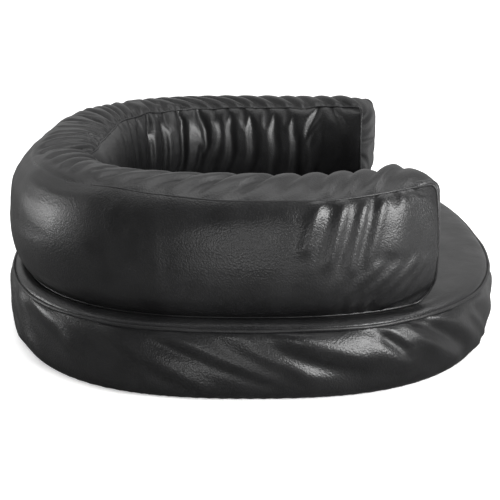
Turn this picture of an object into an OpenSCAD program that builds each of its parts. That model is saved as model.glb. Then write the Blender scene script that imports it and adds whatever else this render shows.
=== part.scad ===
// Oval pet bed: a padded base cushion with a C-shaped bolster sewn on top,
// open at the front. Units are millimetres. The origin is on the floor under
// the middle of the base, +Z is up, and the open front faces -Y.

/* [Base cushion] */
// Width of the base at its top seam, side to side
bed_width = 750; // [620:10:900]
// Depth of the base at its top seam, back to front
bed_depth = 530; // [460:10:640]
// Height of the base's top seam above the floor
base_height = 67; // [55:1:85]
// Squareness of the base's outline, 2 is an ellipse
base_squareness = 2.57; // [2.3:0.01:3]
// Rise of the seat above its seam
seat_rise = 7.5; // [6:0.5:12]
// How far the side band swells past the seam
band_swell = 4; // [2:0.5:6]

/* [Bolster] */
// Half width of the bolster's outer seam line
outer_half_width = 352; // [330:1:356]
// Half depth of the bolster's outer seam line
outer_half_depth = 250; // [240:1:252]
// Squareness of the outer seam line
outer_squareness = 2.57; // [2.3:0.01:2.8]
// Half width of the bolster's inner seam line
inner_half_width = 270; // [256:1:276]
// Half depth of the bolster's inner seam line
inner_half_depth = 186; // [176:1:190]
// Squareness of the inner seam line
inner_squareness = 3.3; // [2.8:0.1:3.6]
// How far the inner seam line's middle lies in front of the bed's middle
inner_shift = 16; // [12:1:20]
// Angle in front of the side axis at which each arm ends
arm_angle = 29.5; // [12:0.5:32]
// Height of the top seams above the bolster's underside
bolster_height = 107; // [85:1:130]
// How far the outer face swells past its seams
outer_swell = 15; // [8:0.5:17]
// How far the inner face swells past its seams
inner_swell = 13; // [8:0.5:16]
// Rise of the top strip above the top seams
top_rise = 15; // [8:1:20]
// Extra height at the two arm ends, as a share
arm_lift = 0.045; // [0:0.005:0.08]

/* [Cover and filling] */
// Thickness of the coated cover fabric
skin = 1.2; // [0.8:0.1:1.6]
// Thickness of the fibre wadding around each foam core
wadding = 8; // [5:0.5:10]
// Gap left between neighbouring layers
gap = 0.4; // [0.3:0.05:0.6]
// Radius of the base's piping cord
base_pipe_r = 2.2; // [1.8:0.1:2.4]
// Radius of the bolster's piping cords
bolster_pipe_r = 1.8; // [1.5:0.1:1.9]

/* [Closure] */
// Length of the zip chain in the underside
zip_length = 520; // [400:10:560]
// Distance of the zip behind the bed's middle
zip_y = 150; // [100:5:160]
// Distance the slider runs
zip_travel = 440; // [300:10:440]

/* [Hidden] */

leather = [0.09, 0.09, 0.10];
lining = [0.12, 0.12, 0.13];
foam_colour = [0.93, 0.90, 0.74];
wadding_colour = [0.95, 0.95, 0.94];
metal = [0.35, 0.35, 0.37];

base_stations = 64;
path_stations = 44;                   // along the bolster
last_inner = path_stations - 2;       // last station before the left arm's end
parallel_depth = 40;                  // base insets run parallel to the edge up to here
foam_bottom = 11;                     // underside of the base's foam

bolster_z = base_height + seat_rise + 0.4;  // underside of the bolster, just clear of the seat
seam_z = bolster_z + bolster_height;        // level of the bolster's top seams
start_angle = -arm_angle;                   // end of the right arm
end_angle = 180 + arm_angle;                // end of the left arm
lift_span = 20;                             // degrees over which the arms rise
taper_length = 9;                           // tapered length of the filling at each arm end
arm_face = -2.1;    // depth of the arm end faces behind the path's end, negative is beyond it
joint_half = 0.5;   // half the gap at the wadding's butt joint

tape_z = 6;         // underside of the zip tapes
slider_x = zip_travel / 2 + 12;
pin_z = 1.95;       // axis of the pull tab's pin
ear_y = 3.6;        // distance of the slider's ears from the zip's middle

// Share of the seat's rise against inset from the seam
seat_profile = [[0, 0], [2.5, 0.31], [6, 0.57], [12, 0.80], [25, 0.93], [60, 0.985], [120, 1]];
// Inset of the side band's outer face against height share
band_profile = [
    [0, 9], [0.04, 5.4], [0.10, 2.2], [0.20, -0.8], [0.34, -band_swell * 0.85],
    [0.55, -band_swell], [0.78, -band_swell * 0.75], [0.92, -band_swell * 0.3], [1, 0.2]];
// Share of the bolster faces' swell against height share
swell_profile = [
    [0, 0], [0.05, 0.22], [0.10, 0.42], [0.20, 0.74], [0.32, 0.94], [0.45, 1],
    [0.62, 0.91], [0.78, 0.66], [0.90, 0.34], [1, -0.04]];

// ---------- lists and solids ----------
function reversed(list) = [for (i = [len(list) - 1:-1:0]) list[i]];

// Joins closed loops of equal length into one solid. wrap = true closes the
// run of loops into a ring, otherwise the first and last loops are capped.
module skin_loops(loops, wrap = false) {
    n = len(loops);
    m = len(loops[0]);
    sides = [for (i = [0:(wrap ? n - 1 : n - 2)], j = [0:m - 1])
        let (i2 = (i + 1) % n, j2 = (j + 1) % m) each
            [[i * m + j, i2 * m + j, i2 * m + j2], [i * m + j, i2 * m + j2, i * m + j2]]];
    caps = wrap ? [] : [[for (j = [0:m - 1]) j], [for (j = [m - 1:-1:0]) (n - 1) * m + j]];
    polyhedron(points = [for (loop = loops) each loop], faces = concat(sides, caps),
               convexity = 8);
}

// Rounded oval |x/half_x|^power + |y/half_y|^power = 1, and its outward normal
function oval(angle, half_x, half_y, power) =
    let (radius = pow(pow(abs(cos(angle)) / half_x, power)
                      + pow(abs(sin(angle)) / half_y, power), -1 / power))
    [radius * cos(angle), radius * sin(angle)];
function oval_normal(p, half_x, half_y, power) =
    let (gradient = [sign(p.x) * pow(abs(p.x) / half_x, power - 1) / half_x,
                     sign(p.y) * pow(abs(p.y) / half_y, power - 1) / half_y])
    gradient / norm(gradient);

// ---------- base shape ----------
// Outline point at station i, moved inwards: parallel to the edge up to
// parallel_depth, then shrinking evenly towards the middle
function base_point(i, inset) =
    let (p = oval(i * 360 / base_stations, bed_width / 2, bed_depth / 2, base_squareness),
         normal = oval_normal(p, bed_width / 2, bed_depth / 2, base_squareness),
         scaling = inset <= parallel_depth ? 1
             : 1 - (inset - parallel_depth) / (bed_depth / 2 - parallel_depth))
    (p - min(inset, parallel_depth) * normal) * scaling;
function base_at(i, inset, z) = let (p = base_point(i, inset)) [p.x, p.y, z];
function base_ring(inset, z) = [for (i = [0:base_stations - 1]) base_at(i, inset, z)];

function seat_top(inset) = base_height + seat_rise * lookup(inset, seat_profile);
// Rings that follow the seat at a depth below its surface
function seat_rings(insets, depth) = [for (t = insets) base_ring(t, seat_top(t) - depth)];
function band_inset(v) = lookup(v, band_profile);

// A closed section of [inset, z] points carried round the base
module round_base(section) {
    skin_loops([for (i = [0:base_stations - 1]) [for (s = section) base_at(i, s[0], s[1])]],
               wrap = true);
}

// A flat plate with the base's outline, moved inwards
module base_plate(inset, thickness) {
    linear_extrude(height = thickness)
        polygon([for (i = [0:base_stations - 1]) base_point(i, inset)]);
}

// ---------- base cushion ----------
module base_foam_core() {
    side_depth = skin + gap + 1;
    top_depth = skin + gap + wadding + gap;
    color(foam_colour) skin_loops(concat(
        [base_ring(band_inset(0.20) + side_depth, foam_bottom)],
        [for (v = [0.34, 0.55, 0.78]) base_ring(band_inset(v) + side_depth, v * base_height)],
        seat_rings([9, 14, 30, 70, 150], top_depth)));
}

module base_top_wadding() {
    upper = skin + gap;
    lower = upper + wadding;
    edge_drop = 1.2;
    color(wadding_colour) skin_loops(concat(
        seat_rings([150, 70, 30, 14, 8], lower),
        seat_rings([6], upper + edge_drop),
        seat_rings([14, 30, 70, 150], upper)));
}

module base_bottom_wadding() {
    end_margin = 14;    // opening round the zip
    half_opening = 18;
    color(wadding_colour) translate([0, 0, skin + gap]) difference() {
        base_plate(12.5, foam_bottom - gap - skin - gap);
        translate([-zip_length / 2 - end_margin, zip_y - half_opening, -1])
            cube([zip_length + 2 * end_margin, 2 * half_opening, 20]);
    }
}

module base_top_panel() {
    color(leather) skin_loops(concat(
        seat_rings([150, 60, 25, 12, 6, 3.2], skin),
        seat_rings([2.6, 6, 12, 25, 60, 150], 0)));
}

module base_side_band() {
    heights = [0.02, 0.05, 0.10, 0.20, 0.34, 0.55, 0.78, 0.92, 0.962];
    // down the outer side, then up the inner side
    color(leather) round_base(concat(
        [for (v = reversed(heights)) [band_inset(v), v * base_height]],
        [for (v = heights) [band_inset(v) + skin, v * base_height]]));
}

module base_bottom_panel() {
    end_margin = 4;     // opening for the zip
    half_opening = 7;
    lip_top = tape_z - 0.1;
    color(lining) {
        difference() {
            base_plate(9.6, skin);
            translate([-zip_length / 2 - end_margin, zip_y - half_opening, -1])
                cube([zip_length + 2 * end_margin, 2 * half_opening, 5]);
        }
        // turned-up lips that hold the zip tapes clear of the floor
        for (side = [-1, 1])
            translate([-zip_length / 2 - end_margin,
                       zip_y + (side < 0 ? -half_opening - skin : half_opening), skin])
                cube([zip_length + 2 * end_margin, skin, lip_top - skin]);
    }
}

module base_top_piping() {
    color(leather) round_base([for (k = [0:5])
        [0.2 + base_pipe_r * cos(k * 60 + 30),
         base_height + 0.1 + base_pipe_r * sin(k * 60 + 30)]]);
}

// ---------- bolster path ----------
// The path runs midway between the seam lines, from the right arm's end round
// the back to the left arm's end.
function outer_curve(angle) =
    oval(angle, outer_half_width, outer_half_depth, outer_squareness);
function inner_curve(angle) =
    oval(angle, inner_half_width, inner_half_depth, inner_squareness) - [0, inner_shift];
function path_point(angle) = (outer_curve(angle) + inner_curve(angle)) / 2;
function path_normal(angle) =
    let (d = outer_curve(angle) - inner_curve(angle)) d / norm(d);
function path_half(angle) = norm(outer_curve(angle) - inner_curve(angle)) / 2;
function path_dir(angle) = let (m = path_normal(angle)) [-m.y, m.x];
function path_angle(i) =
    start_angle + (end_angle - start_angle) * i / (path_stations - 1);
path_angles = [for (i = [1:last_inner]) path_angle(i)];  // without the arm ends

function smooth(x) = let (c = max(0, min(1, x))) c * c * (3 - 2 * c);
// The arm ends stand a little taller than the rest
function lift(angle) = 1 + arm_lift
    * smooth(1 - min(angle - start_angle, end_angle - angle) / lift_span);
function lift_z(angle, z) = bolster_z + (z - bolster_z) * lift(angle);
// Place a section point [w outwards, z up] on the path
function at_path(angle, point) =
    let (p = path_point(angle) + point[0] * path_normal(angle))
    [p.x, p.y, lift_z(angle, point[1])];

// A closed section of [w, z] points carried along the bolster. section is a
// function of the half thickness and of an extra inset. The piece stops short
// of the arm ends, and its ends taper by the extra inset.
module along_bolster(section, short = 0, taper = 0) {
    // [distance from the arm's end, extra inset]
    ends = taper > 0 ? [[short, taper], [taper_length, 0]] : [[short, 0]];
    // [angle, angle to move towards, distance to move, extra inset]
    stations = concat(
        [for (e = ends) [start_angle, path_angle(1), e[0], e[1]]],
        [for (angle = path_angles) [angle, angle, 0, 0]],
        [for (e = reversed(ends)) [end_angle, path_angle(last_inner), e[0], e[1]]]);
    skin_loops([for (s = stations) let (
        share = s[2] / max(1, norm(path_point(s[1]) - path_point(s[0]))),
        from = section(path_half(s[0]), s[3]),
        to = section(path_half(s[1]), s[3]))
        [for (j = [0:len(from) - 1])
            (1 - share) * at_path(s[0], from[j]) + share * at_path(s[1], to[j])]]);
}

// ---------- bolster section ----------
function height_z(v) = bolster_z + v * bolster_height;
// Distance of a face from the centre line at height share v.
// side is 1 for the outer face, -1 for the inner face.
function reach(side, half, v) =
    half + (side > 0 ? outer_swell : inner_swell) * lookup(v, swell_profile);
// Crown of the top, as a share of its rise, at k half widths from the middle
function crown(k) = 1 - pow(abs(k), 2.4);

// Section of the filling, clockwise with w to the right and z up. Its top
// corners are cut back so that they stay clear of the seams.
function filling_loop(half) = concat(
    [for (k = [-0.66, -0.22, 0.22, 0.66]) [k * half, seam_z + top_rise * crown(k) - 1.9]],
    [[half - 3.5, seam_z - 1.5]],
    [for (v = [0.78, 0.45, 0.20, 0.05]) [reach(1, half, v), height_z(v)]],
    [for (w = [24, joint_half, -joint_half, -24]) [w, bolster_z]],
    [for (v = [0.05, 0.20, 0.45, 0.78]) [-reach(-1, half, v), height_z(v)]],
    [[-half + 3.5, seam_z - 1.5]]);

// Moves every side of a clockwise loop inwards
function inset_loop(points, inset) = let (n = len(points)) [for (i = [0:n - 1])
    let (before = points[(i + n - 1) % n], here = points[i], after = points[(i + 1) % n],
         u = (here - before) / norm(here - before),
         v = (after - here) / norm(after - here),
         tangent = (u + v) / norm(u + v),
         miter = 1 / max(0.6, sqrt((1 + u * v) / 2)))
    here + inset * miter * [tangent.y, -tangent.x]];

// The inset filling loop, opened at the butt joint under its middle
function open_loop(half, inset) =
    let (loop = inset_loop(filling_loop(half), inset), n = len(loop), start = n / 2 + 2)
    [for (k = [0:n - 1]) let (p = loop[(start + k) % n])
        k == 0 ? [-joint_half, p.y] : k == n - 1 ? [joint_half, p.y] : p];

// ---------- bolster filling and faces ----------
module bolster_foam_core() {
    depth = skin + gap + wadding + 2 * gap;
    color(foam_colour) along_bolster(
        function (half, extra) inset_loop(filling_loop(half), depth + extra),
        short = 0.8, taper = 5);
}

module bolster_wadding() {
    depth = skin + gap;
    color(wadding_colour) along_bolster(
        function (half, extra) concat(
            open_loop(half, depth + extra),
            reversed(open_loop(half, depth + wadding + extra))),
        short = 0.5, taper = 5);
}

panel_heights = [0.965, 0.90, 0.78, 0.62, 0.45, 0.32, 0.20, 0.10, 0.04];

// Section of a side panel, clockwise
function panel_section(side, half) = let (
    visible = [for (v = panel_heights) [side * reach(side, half, v), height_z(v)]],
    hidden = [for (p = visible) [p.x - side * skin, p.y]])
    side > 0 ? concat(visible, reversed(hidden)) : concat(reversed(visible), hidden);

module bolster_outer_panel() {
    color(leather) along_bolster(function (half, extra) panel_section(1, half));
}

module bolster_inner_panel() {
    color(leather) along_bolster(function (half, extra) panel_section(-1, half));
}

module bolster_underside_strip() {
    margin = 5;
    thickness = 1;
    color(lining) along_bolster(function (half, extra) [
        [-half + margin, bolster_z + thickness], [half - margin, bolster_z + thickness],
        [half - margin, bolster_z], [-half + margin, bolster_z]]);
}

// ---------- bolster edge frames ----------
// A frame is [point on the centre line, direction across, direction outwards].
function arm_end(right) = right ? start_angle : end_angle;
function arm_dir(right) = path_dir(arm_end(right)) * (right ? -1 : 1);

// Frame at a depth behind an arm's end. turn 0 faces out of the end, 90 up, -90 down.
function end_frame(right, depth, z, turn) =
    let (m = path_normal(arm_end(right)), d = arm_dir(right),
         p = path_point(arm_end(right)) - depth * d)
    [[p.x, p.y, z], [m.x, m.y, 0], [d.x * cos(turn), d.y * cos(turn), sin(turn)]];

// Frame on the path that faces up (1) or down (-1)
function path_frame(angle, z, up) =
    let (p = path_point(angle), m = path_normal(angle)) [[p.x, p.y, z], [m.x, m.y, 0], [0, 0, up]];

// Half thickness at a depth behind an arm's end, along the straight run from
// the end to the next station
function end_half(right, depth, side) = let (
    angle = arm_end(right),
    next = path_angle(right ? 1 : last_inner),
    m = path_normal(angle),
    a = path_point(angle) + side * path_half(angle) * m,
    b = path_point(next) + side * path_half(next) * path_normal(next),
    share = max(0, depth) / ((a - b) * arm_dir(right)))
    side * ((a + share * (b - a) - path_point(angle)) * m);

// The strip between the two faces: up one arm end, along the top, down the other
module bolster_top_gusset() {
    bend_r = 10;
    margin = 2.8;       // distance of the strip's edges from the faces
    end_bulge = 9;
    strip_z = seam_z + 0.6;
    half = path_half(start_angle);
    bend_z = lift_z(start_angle, strip_z) - bend_r;
    across_shares = [-1, -0.85, -0.5, 0, 0.5, 0.85, 1];

    // each station: [frame, [width inwards, width outwards], bulge]
    function widths(half_in, half_out, v) =
        [reach(-1, half_in, v) - margin, reach(1, half_out, v) - margin];
    function end_face(right, v) =
        [end_frame(right, arm_face, lift_z(start_angle, height_z(v)), 0),
         v < 0.05 ? [half - 3, half - 3] : widths(half, half, v),
         end_bulge * min(1, 0.4 + v)];
    function end_bend(right, turn) = let (depth = arm_face + bend_r - bend_r * cos(turn))
        [end_frame(right, depth, bend_z + bend_r * sin(turn), turn),
         widths(end_half(right, depth, -1), end_half(right, depth, 1), 1),
         end_bulge + (top_rise - end_bulge) * turn / 90];
    function arm(right) = concat(
        [for (v = [0.035, 0.10, 0.20, 0.32, 0.45, 0.62, 0.78, 0.88]) end_face(right, v)],
        [for (turn = [0, 30, 60, 90]) end_bend(right, turn)]);
    top = [for (angle = path_angles)
        [path_frame(angle, lift_z(angle, strip_z), 1),
         widths(path_half(angle), path_half(angle), 1), top_rise]];

    function strip_point(station, depth, k) = let (
        frame = station[0],
        w = k * station[1][k < 0 ? 0 : 1])
        frame[0] + w * frame[1] + (station[2] * crown(k) - depth) * frame[2];
    color(leather) skin_loops([for (s = concat(arm(true), top, reversed(arm(false)))) concat(
        [for (k = across_shares) strip_point(s, 0, k)],
        [for (k = reversed(across_shares)) strip_point(s, skin, k)])]);
}

// Piping round the edge of one face, side = 1 outer, -1 inner
module face_piping(side) {
    bend_r = 3;
    half = path_half(start_angle);
    cord_z = seam_z + 0.2;
    top_z = lift_z(start_angle, cord_z);
    bottom_z = bolster_z + bolster_pipe_r + 0.1;

    // each station: [frame, distance across]
    function face_w(half, v) = side * (reach(side, half, v) - 0.2);
    function bottom_w(half) = side * (half + 0.6);
    function bend(right, z, turn, w) =
        [end_frame(right, arm_face + bend_r - bend_r * cos(turn), z + bend_r * sin(turn), turn), w];
    // down one arm's end
    function arm(right) = concat(
        [for (turn = [90, 45, 0]) bend(right, top_z - bend_r, turn, face_w(half, 1))],
        [for (v = [0.90, 0.78, 0.62, 0.45, 0.32, 0.20, 0.10])
            [end_frame(right, arm_face, lift_z(start_angle, height_z(v)), 0), face_w(half, v)]],
        [for (turn = [0, -45, -90]) bend(right, bottom_z + bend_r, turn, bottom_w(half))]);
    top = [for (angle = path_angles)
        [path_frame(angle, lift_z(angle, cord_z), 1), face_w(path_half(angle), 1)]];
    bottom = [for (angle = path_angles)
        [path_frame(angle, bottom_z, -1), bottom_w(path_half(angle))]];

    skin_loops([for (s = concat(top, arm(false), reversed(bottom), reversed(arm(true))))
        let (frame = s[0], w = s[1]) [for (k = [5:-1:0])
            frame[0] + (w + bolster_pipe_r * cos(k * 60)) * frame[1]
                + bolster_pipe_r * sin(k * 60) * frame[2]]], wrap = true);
}

module bolster_outer_piping() { color(leather) face_piping(1); }
module bolster_inner_piping() { color(leather) face_piping(-1); }

// ---------- zip in the underside ----------
module zip_tapes() {
    inner_edge = 2.4;
    width = 13.6;
    end_margin = 3;
    color(lining) for (side = [-1, 1])
        translate([-zip_length / 2 - end_margin,
                   zip_y + (side > 0 ? inner_edge : -inner_edge - width), tape_z])
            cube([zip_length + 2 * end_margin, width, 0.8]);
}

// One half of the chain: a coil edge with a row of teeth
module zip_half(side) {
    pitch = 4;
    back = side * 2.3;
    root = side * 0.9;
    tip = side * 0.4;   // leaves the slot that the slider's wedge runs in
    translate([0, zip_y, 5.2]) linear_extrude(height = 2.2) polygon(concat(
        [[-zip_length / 2, back], [-zip_length / 2, root]],
        [for (i = [0:floor(zip_length / pitch) - 1]) let (x = -zip_length / 2 + i * pitch) each
            [[x + 1, root], [x + 1.4, tip], [x + 2.8, tip], [x + 3.2, root]]],
        [[zip_length / 2, root], [zip_length / 2, back]]));
}

module zip_chain() {
    color(lining) {
        zip_half(1);
        zip_half(-1);
    }
}

module zip_end_stops() {
    color(metal) for (side = [-1, 1])
        translate([side * (zip_length / 2 + 1.6), zip_y, 6.3])
            cube([2.4, 4.2, 3.2], center = true);
}

// [x, y] outlines, from the slider's middle and from the tab's pin
slider_outline = [
    [-7, -3.2], [-5.5, -4.2], [2, -5.2], [7, -4.6], [8, -2],
    [8, 2], [7, 4.6], [2, 5.2], [-5.5, 4.2], [-7, 3.2]];
tab_outline = [
    [0, -2.8], [-4, -2.8], [-8, -3.4], [-20, -3.4], [-22, -2],
    [-22, 2], [-20, 3.4], [-8, 3.4], [-4, 2.8], [0, 2.8]];

module zip_slider() {
    ear_thickness = 0.8;
    ear_top = 3.55;     // just inside the lower plate
    color(metal) translate([slider_x, zip_y, 0]) {
        // plates below and above the chain
        for (z = [3.5, 8.0]) translate([0, 0, z])
            linear_extrude(height = 1.1) polygon(slider_outline);
        // wedge between the two halves of the chain
        translate([2, -0.25, 4.5]) cube([6, 0.5, 3.6]);
        // ears and pin for the pull tab
        for (side = [-1, 1]) translate([0, side * ear_y, pin_z]) rotate([90, 0, 0])
            cylinder(r = 1.5, h = ear_thickness, center = true, $fn = 48);
        for (side = [-1, 1]) translate([-1.2, side * ear_y - ear_thickness / 2, pin_z])
            cube([2.4, ear_thickness, ear_top - pin_z]);
        translate([0, 0, pin_z]) rotate([90, 0, 0])
            cylinder(r = 0.7, h = 2 * ear_y, center = true, $fn = 48);
    }
}

module zip_pull_tab() {
    thickness = 1.4;
    color(metal) translate([slider_x, zip_y, pin_z]) difference() {
        union() {
            rotate([90, 0, 0]) cylinder(r = 1.35, h = 5.6, center = true, $fn = 48);
            translate([0, 0, -thickness / 2])
                linear_extrude(height = thickness) polygon(tab_outline);
        }
        // bore for the pin
        rotate([90, 0, 0]) cylinder(r = 0.76, h = 9, center = true, $fn = 48);
        // grip window
        translate([-18.5, -1.6, -2]) cube([8, 3.2, 4]);
    }
}

base_foam_core();
base_top_wadding();
base_bottom_wadding();
base_top_panel();
base_side_band();
base_bottom_panel();
base_top_piping();
bolster_foam_core();
bolster_wadding();
bolster_outer_panel();
bolster_inner_panel();
bolster_top_gusset();
bolster_underside_strip();
bolster_outer_piping();
bolster_inner_piping();
zip_tapes();
zip_chain();
zip_end_stops();
zip_slider();
zip_pull_tab();
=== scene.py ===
"""A soft bed: an oval base cushion with a padded bolster on its rim, in black faux leather.

The bed lies flat with z up. The bolster runs anticlockwise from the end of its +X arm, round the
back (+Y), to the end of its -X arm, and is open at the front (-Y). The camera looks along +X.
Lengths are in mm until a mesh is made; shaders, lights and camera are in metres.

Words used throughout:
  along   length along the bolster's path, or round the base's rim
  level   share of a wall's height, 0 at the bottom seam and 1 at the top seam
  side    +1 for the bolster's outer wall, -1 for its inner wall
  wrap    whether a grid's rows close into a ring
"""
import math

import bmesh
import bpy
import numpy as np
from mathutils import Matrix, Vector


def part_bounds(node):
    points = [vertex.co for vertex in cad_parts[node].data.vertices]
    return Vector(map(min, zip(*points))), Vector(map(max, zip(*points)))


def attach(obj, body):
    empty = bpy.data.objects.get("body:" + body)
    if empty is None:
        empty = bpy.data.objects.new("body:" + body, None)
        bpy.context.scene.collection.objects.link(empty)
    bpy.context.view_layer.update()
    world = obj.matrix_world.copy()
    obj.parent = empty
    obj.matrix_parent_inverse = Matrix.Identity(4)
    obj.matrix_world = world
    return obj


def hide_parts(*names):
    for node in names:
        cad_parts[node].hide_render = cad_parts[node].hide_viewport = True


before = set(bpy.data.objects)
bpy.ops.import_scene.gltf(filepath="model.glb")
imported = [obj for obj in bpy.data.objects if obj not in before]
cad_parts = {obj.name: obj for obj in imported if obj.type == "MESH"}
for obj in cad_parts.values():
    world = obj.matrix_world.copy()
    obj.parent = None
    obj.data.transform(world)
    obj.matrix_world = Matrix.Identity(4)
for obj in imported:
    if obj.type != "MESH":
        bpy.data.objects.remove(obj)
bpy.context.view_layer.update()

MM = 0.001
SINGLE = np.float32


# ------------------------------------------------------------------ sizes, read from the frame
def part_box(part):
    low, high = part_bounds(part)
    return np.array(low) * 1000, np.array(high) * 1000


def half_size(part, axis):
    low, high = part_box(part)
    return (high[axis] - low[axis]) / 2


def centre(part, axis):
    low, high = part_box(part)
    return (low[axis] + high[axis]) / 2


# Ovals: half width, half depth, power
BASE_OVAL = (half_size("base_side_band", 0) - 4, half_size("base_side_band", 1) - 4, 2.57)
_outer_top = part_box("bolster_outer_panel")[1]
OUTER_OVAL = (half_size("bolster_outer_panel", 0) - 14.75, _outer_top[1] - 14.9, 2.57)
INNER_OVAL = (half_size("bolster_inner_panel", 0), 186.0, 3.3)
INNER_SHIFT = 16.0            # the inner oval lies this far towards the front

PIPING_LIFT = 0.1             # rim piping's middle above the base's top edge
BASE_H = centre("base_top_piping", 2) - PIPING_LIFT
SEAT_RISE = part_box("base_top_panel")[1][2] - BASE_H
FOOT_Z = part_box("bolster_underside_strip")[0][2]
ARM_LIFT = 0.045              # share by which the bolster is taller at its arm ends
END_LIFT = 1 + ARM_LIFT
BOLSTER_H = (_outer_top[2] - FOOT_Z) / (0.965 * END_LIFT)
TOP_RISE = 11.0
START_ANGLE, END_ANGLE = math.radians(-29.5), math.radians(209.5)
OVER = 2.1                    # the gathered strip stands this far past the path's ends
FOOT_R, TOP_R = 26.0, 7.0     # radii of the walls' bottom and top corners at the arm ends
FOOT_SINK = 3.5               # how far the outer foot is pulled down into the base cushion
FILLET_IN, FILLET_DOWN = 0.74, 0.67    # shares of the fillet that go sideways and down
PIPING_R, CORD_R = 1.75, 1.5
SKIN = 1.1                    # thickness of the cover
FOOT_SKIN = 0.8               # thickness of the strip under the bolster
GRID_STEP = 5.0               # row spacing of the coarse cloth grids
ROUND_INSET = 40              # insets up to here follow the rim, deeper ones shrink to the middle
ZIP_Y, ZIP_HALF = centre("zip_tapes", 1), half_size("zip_tapes", 0)


# ------------------------------------------------------------------ curves
def soften(xs, ys, width, count=800):
    """Smoothed lookup table: no kinks at its knots, and it keeps both end values."""
    x = np.linspace(xs[0], xs[-1], count)
    y = np.interp(x, xs, ys)
    reach = max(3, int(width * count * 2))
    y = np.concatenate([2 * y[0] - y[reach:0:-1], y, 2 * y[-1] - y[-2:-reach - 2:-1]])
    kernel = np.exp(-0.5 * (np.arange(-reach, reach + 1) / (width * count / 2 + 1e-9)) ** 2)
    return x, np.convolve(y, kernel / kernel.sum(), "same")[reach:-reach]


# Swell of each wall: greatest swell, and its share against the level
SWELL = {
    1: (15.0, soften([0, .05, .10, .20, .32, .45, .62, .78, .90, 1],
                     [0, .24, .46, .78, .96, 1, .95, .81, .60, .28], 0.04)),
    -1: (13.0, soften([0, .05, .10, .20, .32, .45, .60, .74, .88, 1],
                      [0, .14, .27, .50, .73, .92, 1, .93, .68, .28], 0.04)),
}
# Inset of the side band against its level
BAND_INSET = soften([0, .04, .10, .20, .34, .55, .78, .92, 1],
                    [6.5, 3.6, 1.6, -.4, -1.8, -2.3, -1.6, -.5, .6], 0.03)
# Share of the seat's rise against the inset from the rim
SEAT_PROFILE = soften([0, 2.5, 6, 12, 25, 60, 120, 300],
                      [0, .31, .57, .80, .93, .985, 1, 1], 0.006, 3000)


def smooth(x):
    share = np.clip(x, 0, 1)
    return share * share * (3 - 2 * share)


def bell(x, at, width):
    return np.exp(-((x - at) / width) ** 2)


def oval(angle, half_x, half_y, power):
    cos, sin = np.cos(angle), np.sin(angle)
    radius = (np.abs(cos / half_x) ** power + np.abs(sin / half_y) ** power) ** (-1 / power)
    return np.stack([radius * cos, radius * sin], -1)


def oval_normal(points, half_x, half_y, power):
    x, y = points[..., 0], points[..., 1]
    slope = np.stack([np.sign(x) * np.abs(x / half_x) ** (power - 1) / half_x,
                      np.sign(y) * np.abs(y / half_y) ** (power - 1) / half_y], -1)
    return slope / np.linalg.norm(slope, axis=-1, keepdims=True)


def with_z(xy, z):
    return np.concatenate([xy, np.broadcast_to(z, xy.shape[:-1])[..., None]], -1)


def mesh_grid(rows, columns):
    return np.meshgrid(rows, columns, indexing="ij")


def running_length(points):
    steps = np.linalg.norm(points[1:] - points[:-1], axis=1)
    return np.concatenate([[0], np.cumsum(steps)])


# ------------------------------------------------------------------ seeded noise, about -1 to 1
def cell(position):
    """Whole part, and eased remainder, of a place in a noise table."""
    index = np.floor(position).astype(int)
    return index, smooth(position - index)


def read_table(table, position):
    index, part = cell(position)
    size = len(table)
    return table[index % size] * (1 - part) + table[(index + 1) % size] * part


def noise1(x, period, seed):
    table = np.random.default_rng(seed).uniform(-1, 1, 4096)
    return read_table(table, np.asarray(x, float) / period + 1000)


def loop_noise1(x, total, period, seed):
    """As noise1, but it repeats after total, for runs that close on themselves."""
    count = max(4, int(round(total / period)))
    table = np.random.default_rng(seed).uniform(-1, 1, count)
    return read_table(table, np.asarray(x, float) / total * count)


def noise2(x, y, periods, seed):
    table = np.random.default_rng(seed).uniform(-1, 1, (256, 256))
    i, part_x = cell(np.asarray(x, float) / periods[0] + 500)
    j, part_y = cell(np.asarray(y, float) / periods[1] + 500)
    i, j = i % 256, j % 256
    i2, j2 = (i + 1) % 256, (j + 1) % 256
    return ((table[i, j] * (1 - part_x) + table[i2, j] * part_x) * (1 - part_y)
            + (table[i, j2] * (1 - part_x) + table[i2, j2] * part_x) * part_y)


# ------------------------------------------------------------------ grids of points
def row_steps(grid, wrap=False):
    if wrap:
        return np.roll(grid, -1, 0) - np.roll(grid, 1, 0)
    steps = np.empty_like(grid)
    steps[1:-1] = grid[2:] - grid[:-2]
    steps[0] = grid[1] - grid[0]
    steps[-1] = grid[-1] - grid[-2]
    return steps


def normals(grid, wrap, sign):
    """Normals of a grid. sign is +1 when rows x columns points outwards."""
    column_steps = np.swapaxes(row_steps(np.swapaxes(grid, 0, 1)), 0, 1)
    normal = np.cross(row_steps(grid, wrap), column_steps) * sign
    return normal / (np.linalg.norm(normal, axis=-1, keepdims=True) + 1e-12)


def interleave(values, middles):
    mixed = np.empty((len(values) + len(middles),) + values.shape[1:], values.dtype)
    mixed[0::2] = values
    mixed[1::2] = middles
    return mixed


def refine_rows(grid, wrap):
    if wrap:
        a, b, c, d = np.roll(grid, 1, 0), grid, np.roll(grid, -1, 0), np.roll(grid, -2, 0)
    else:
        padded = np.concatenate([2 * grid[:1] - grid[1:2], grid, 2 * grid[-1:] - grid[-2:-1]])
        a, b, c, d = padded[:-3], padded[1:-2], padded[2:-1], padded[3:]
    return interleave(grid, (9 * (b + c) - a - d) / 16)


def refine(grid, wrap):
    """Twice as many cells each way, along a smooth curve through the old points."""
    grid = refine_rows(grid, wrap)
    return np.swapaxes(refine_rows(np.swapaxes(grid, 0, 1), False), 0, 1)


def refine_field(values, wrap=False):
    return refine(np.asarray(values, float)[..., None], wrap)[..., 0]


def pair_sum(values, wrap=False):
    return values + np.roll(values, -1, 0) if wrap else values[:-1] + values[1:]


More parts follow.
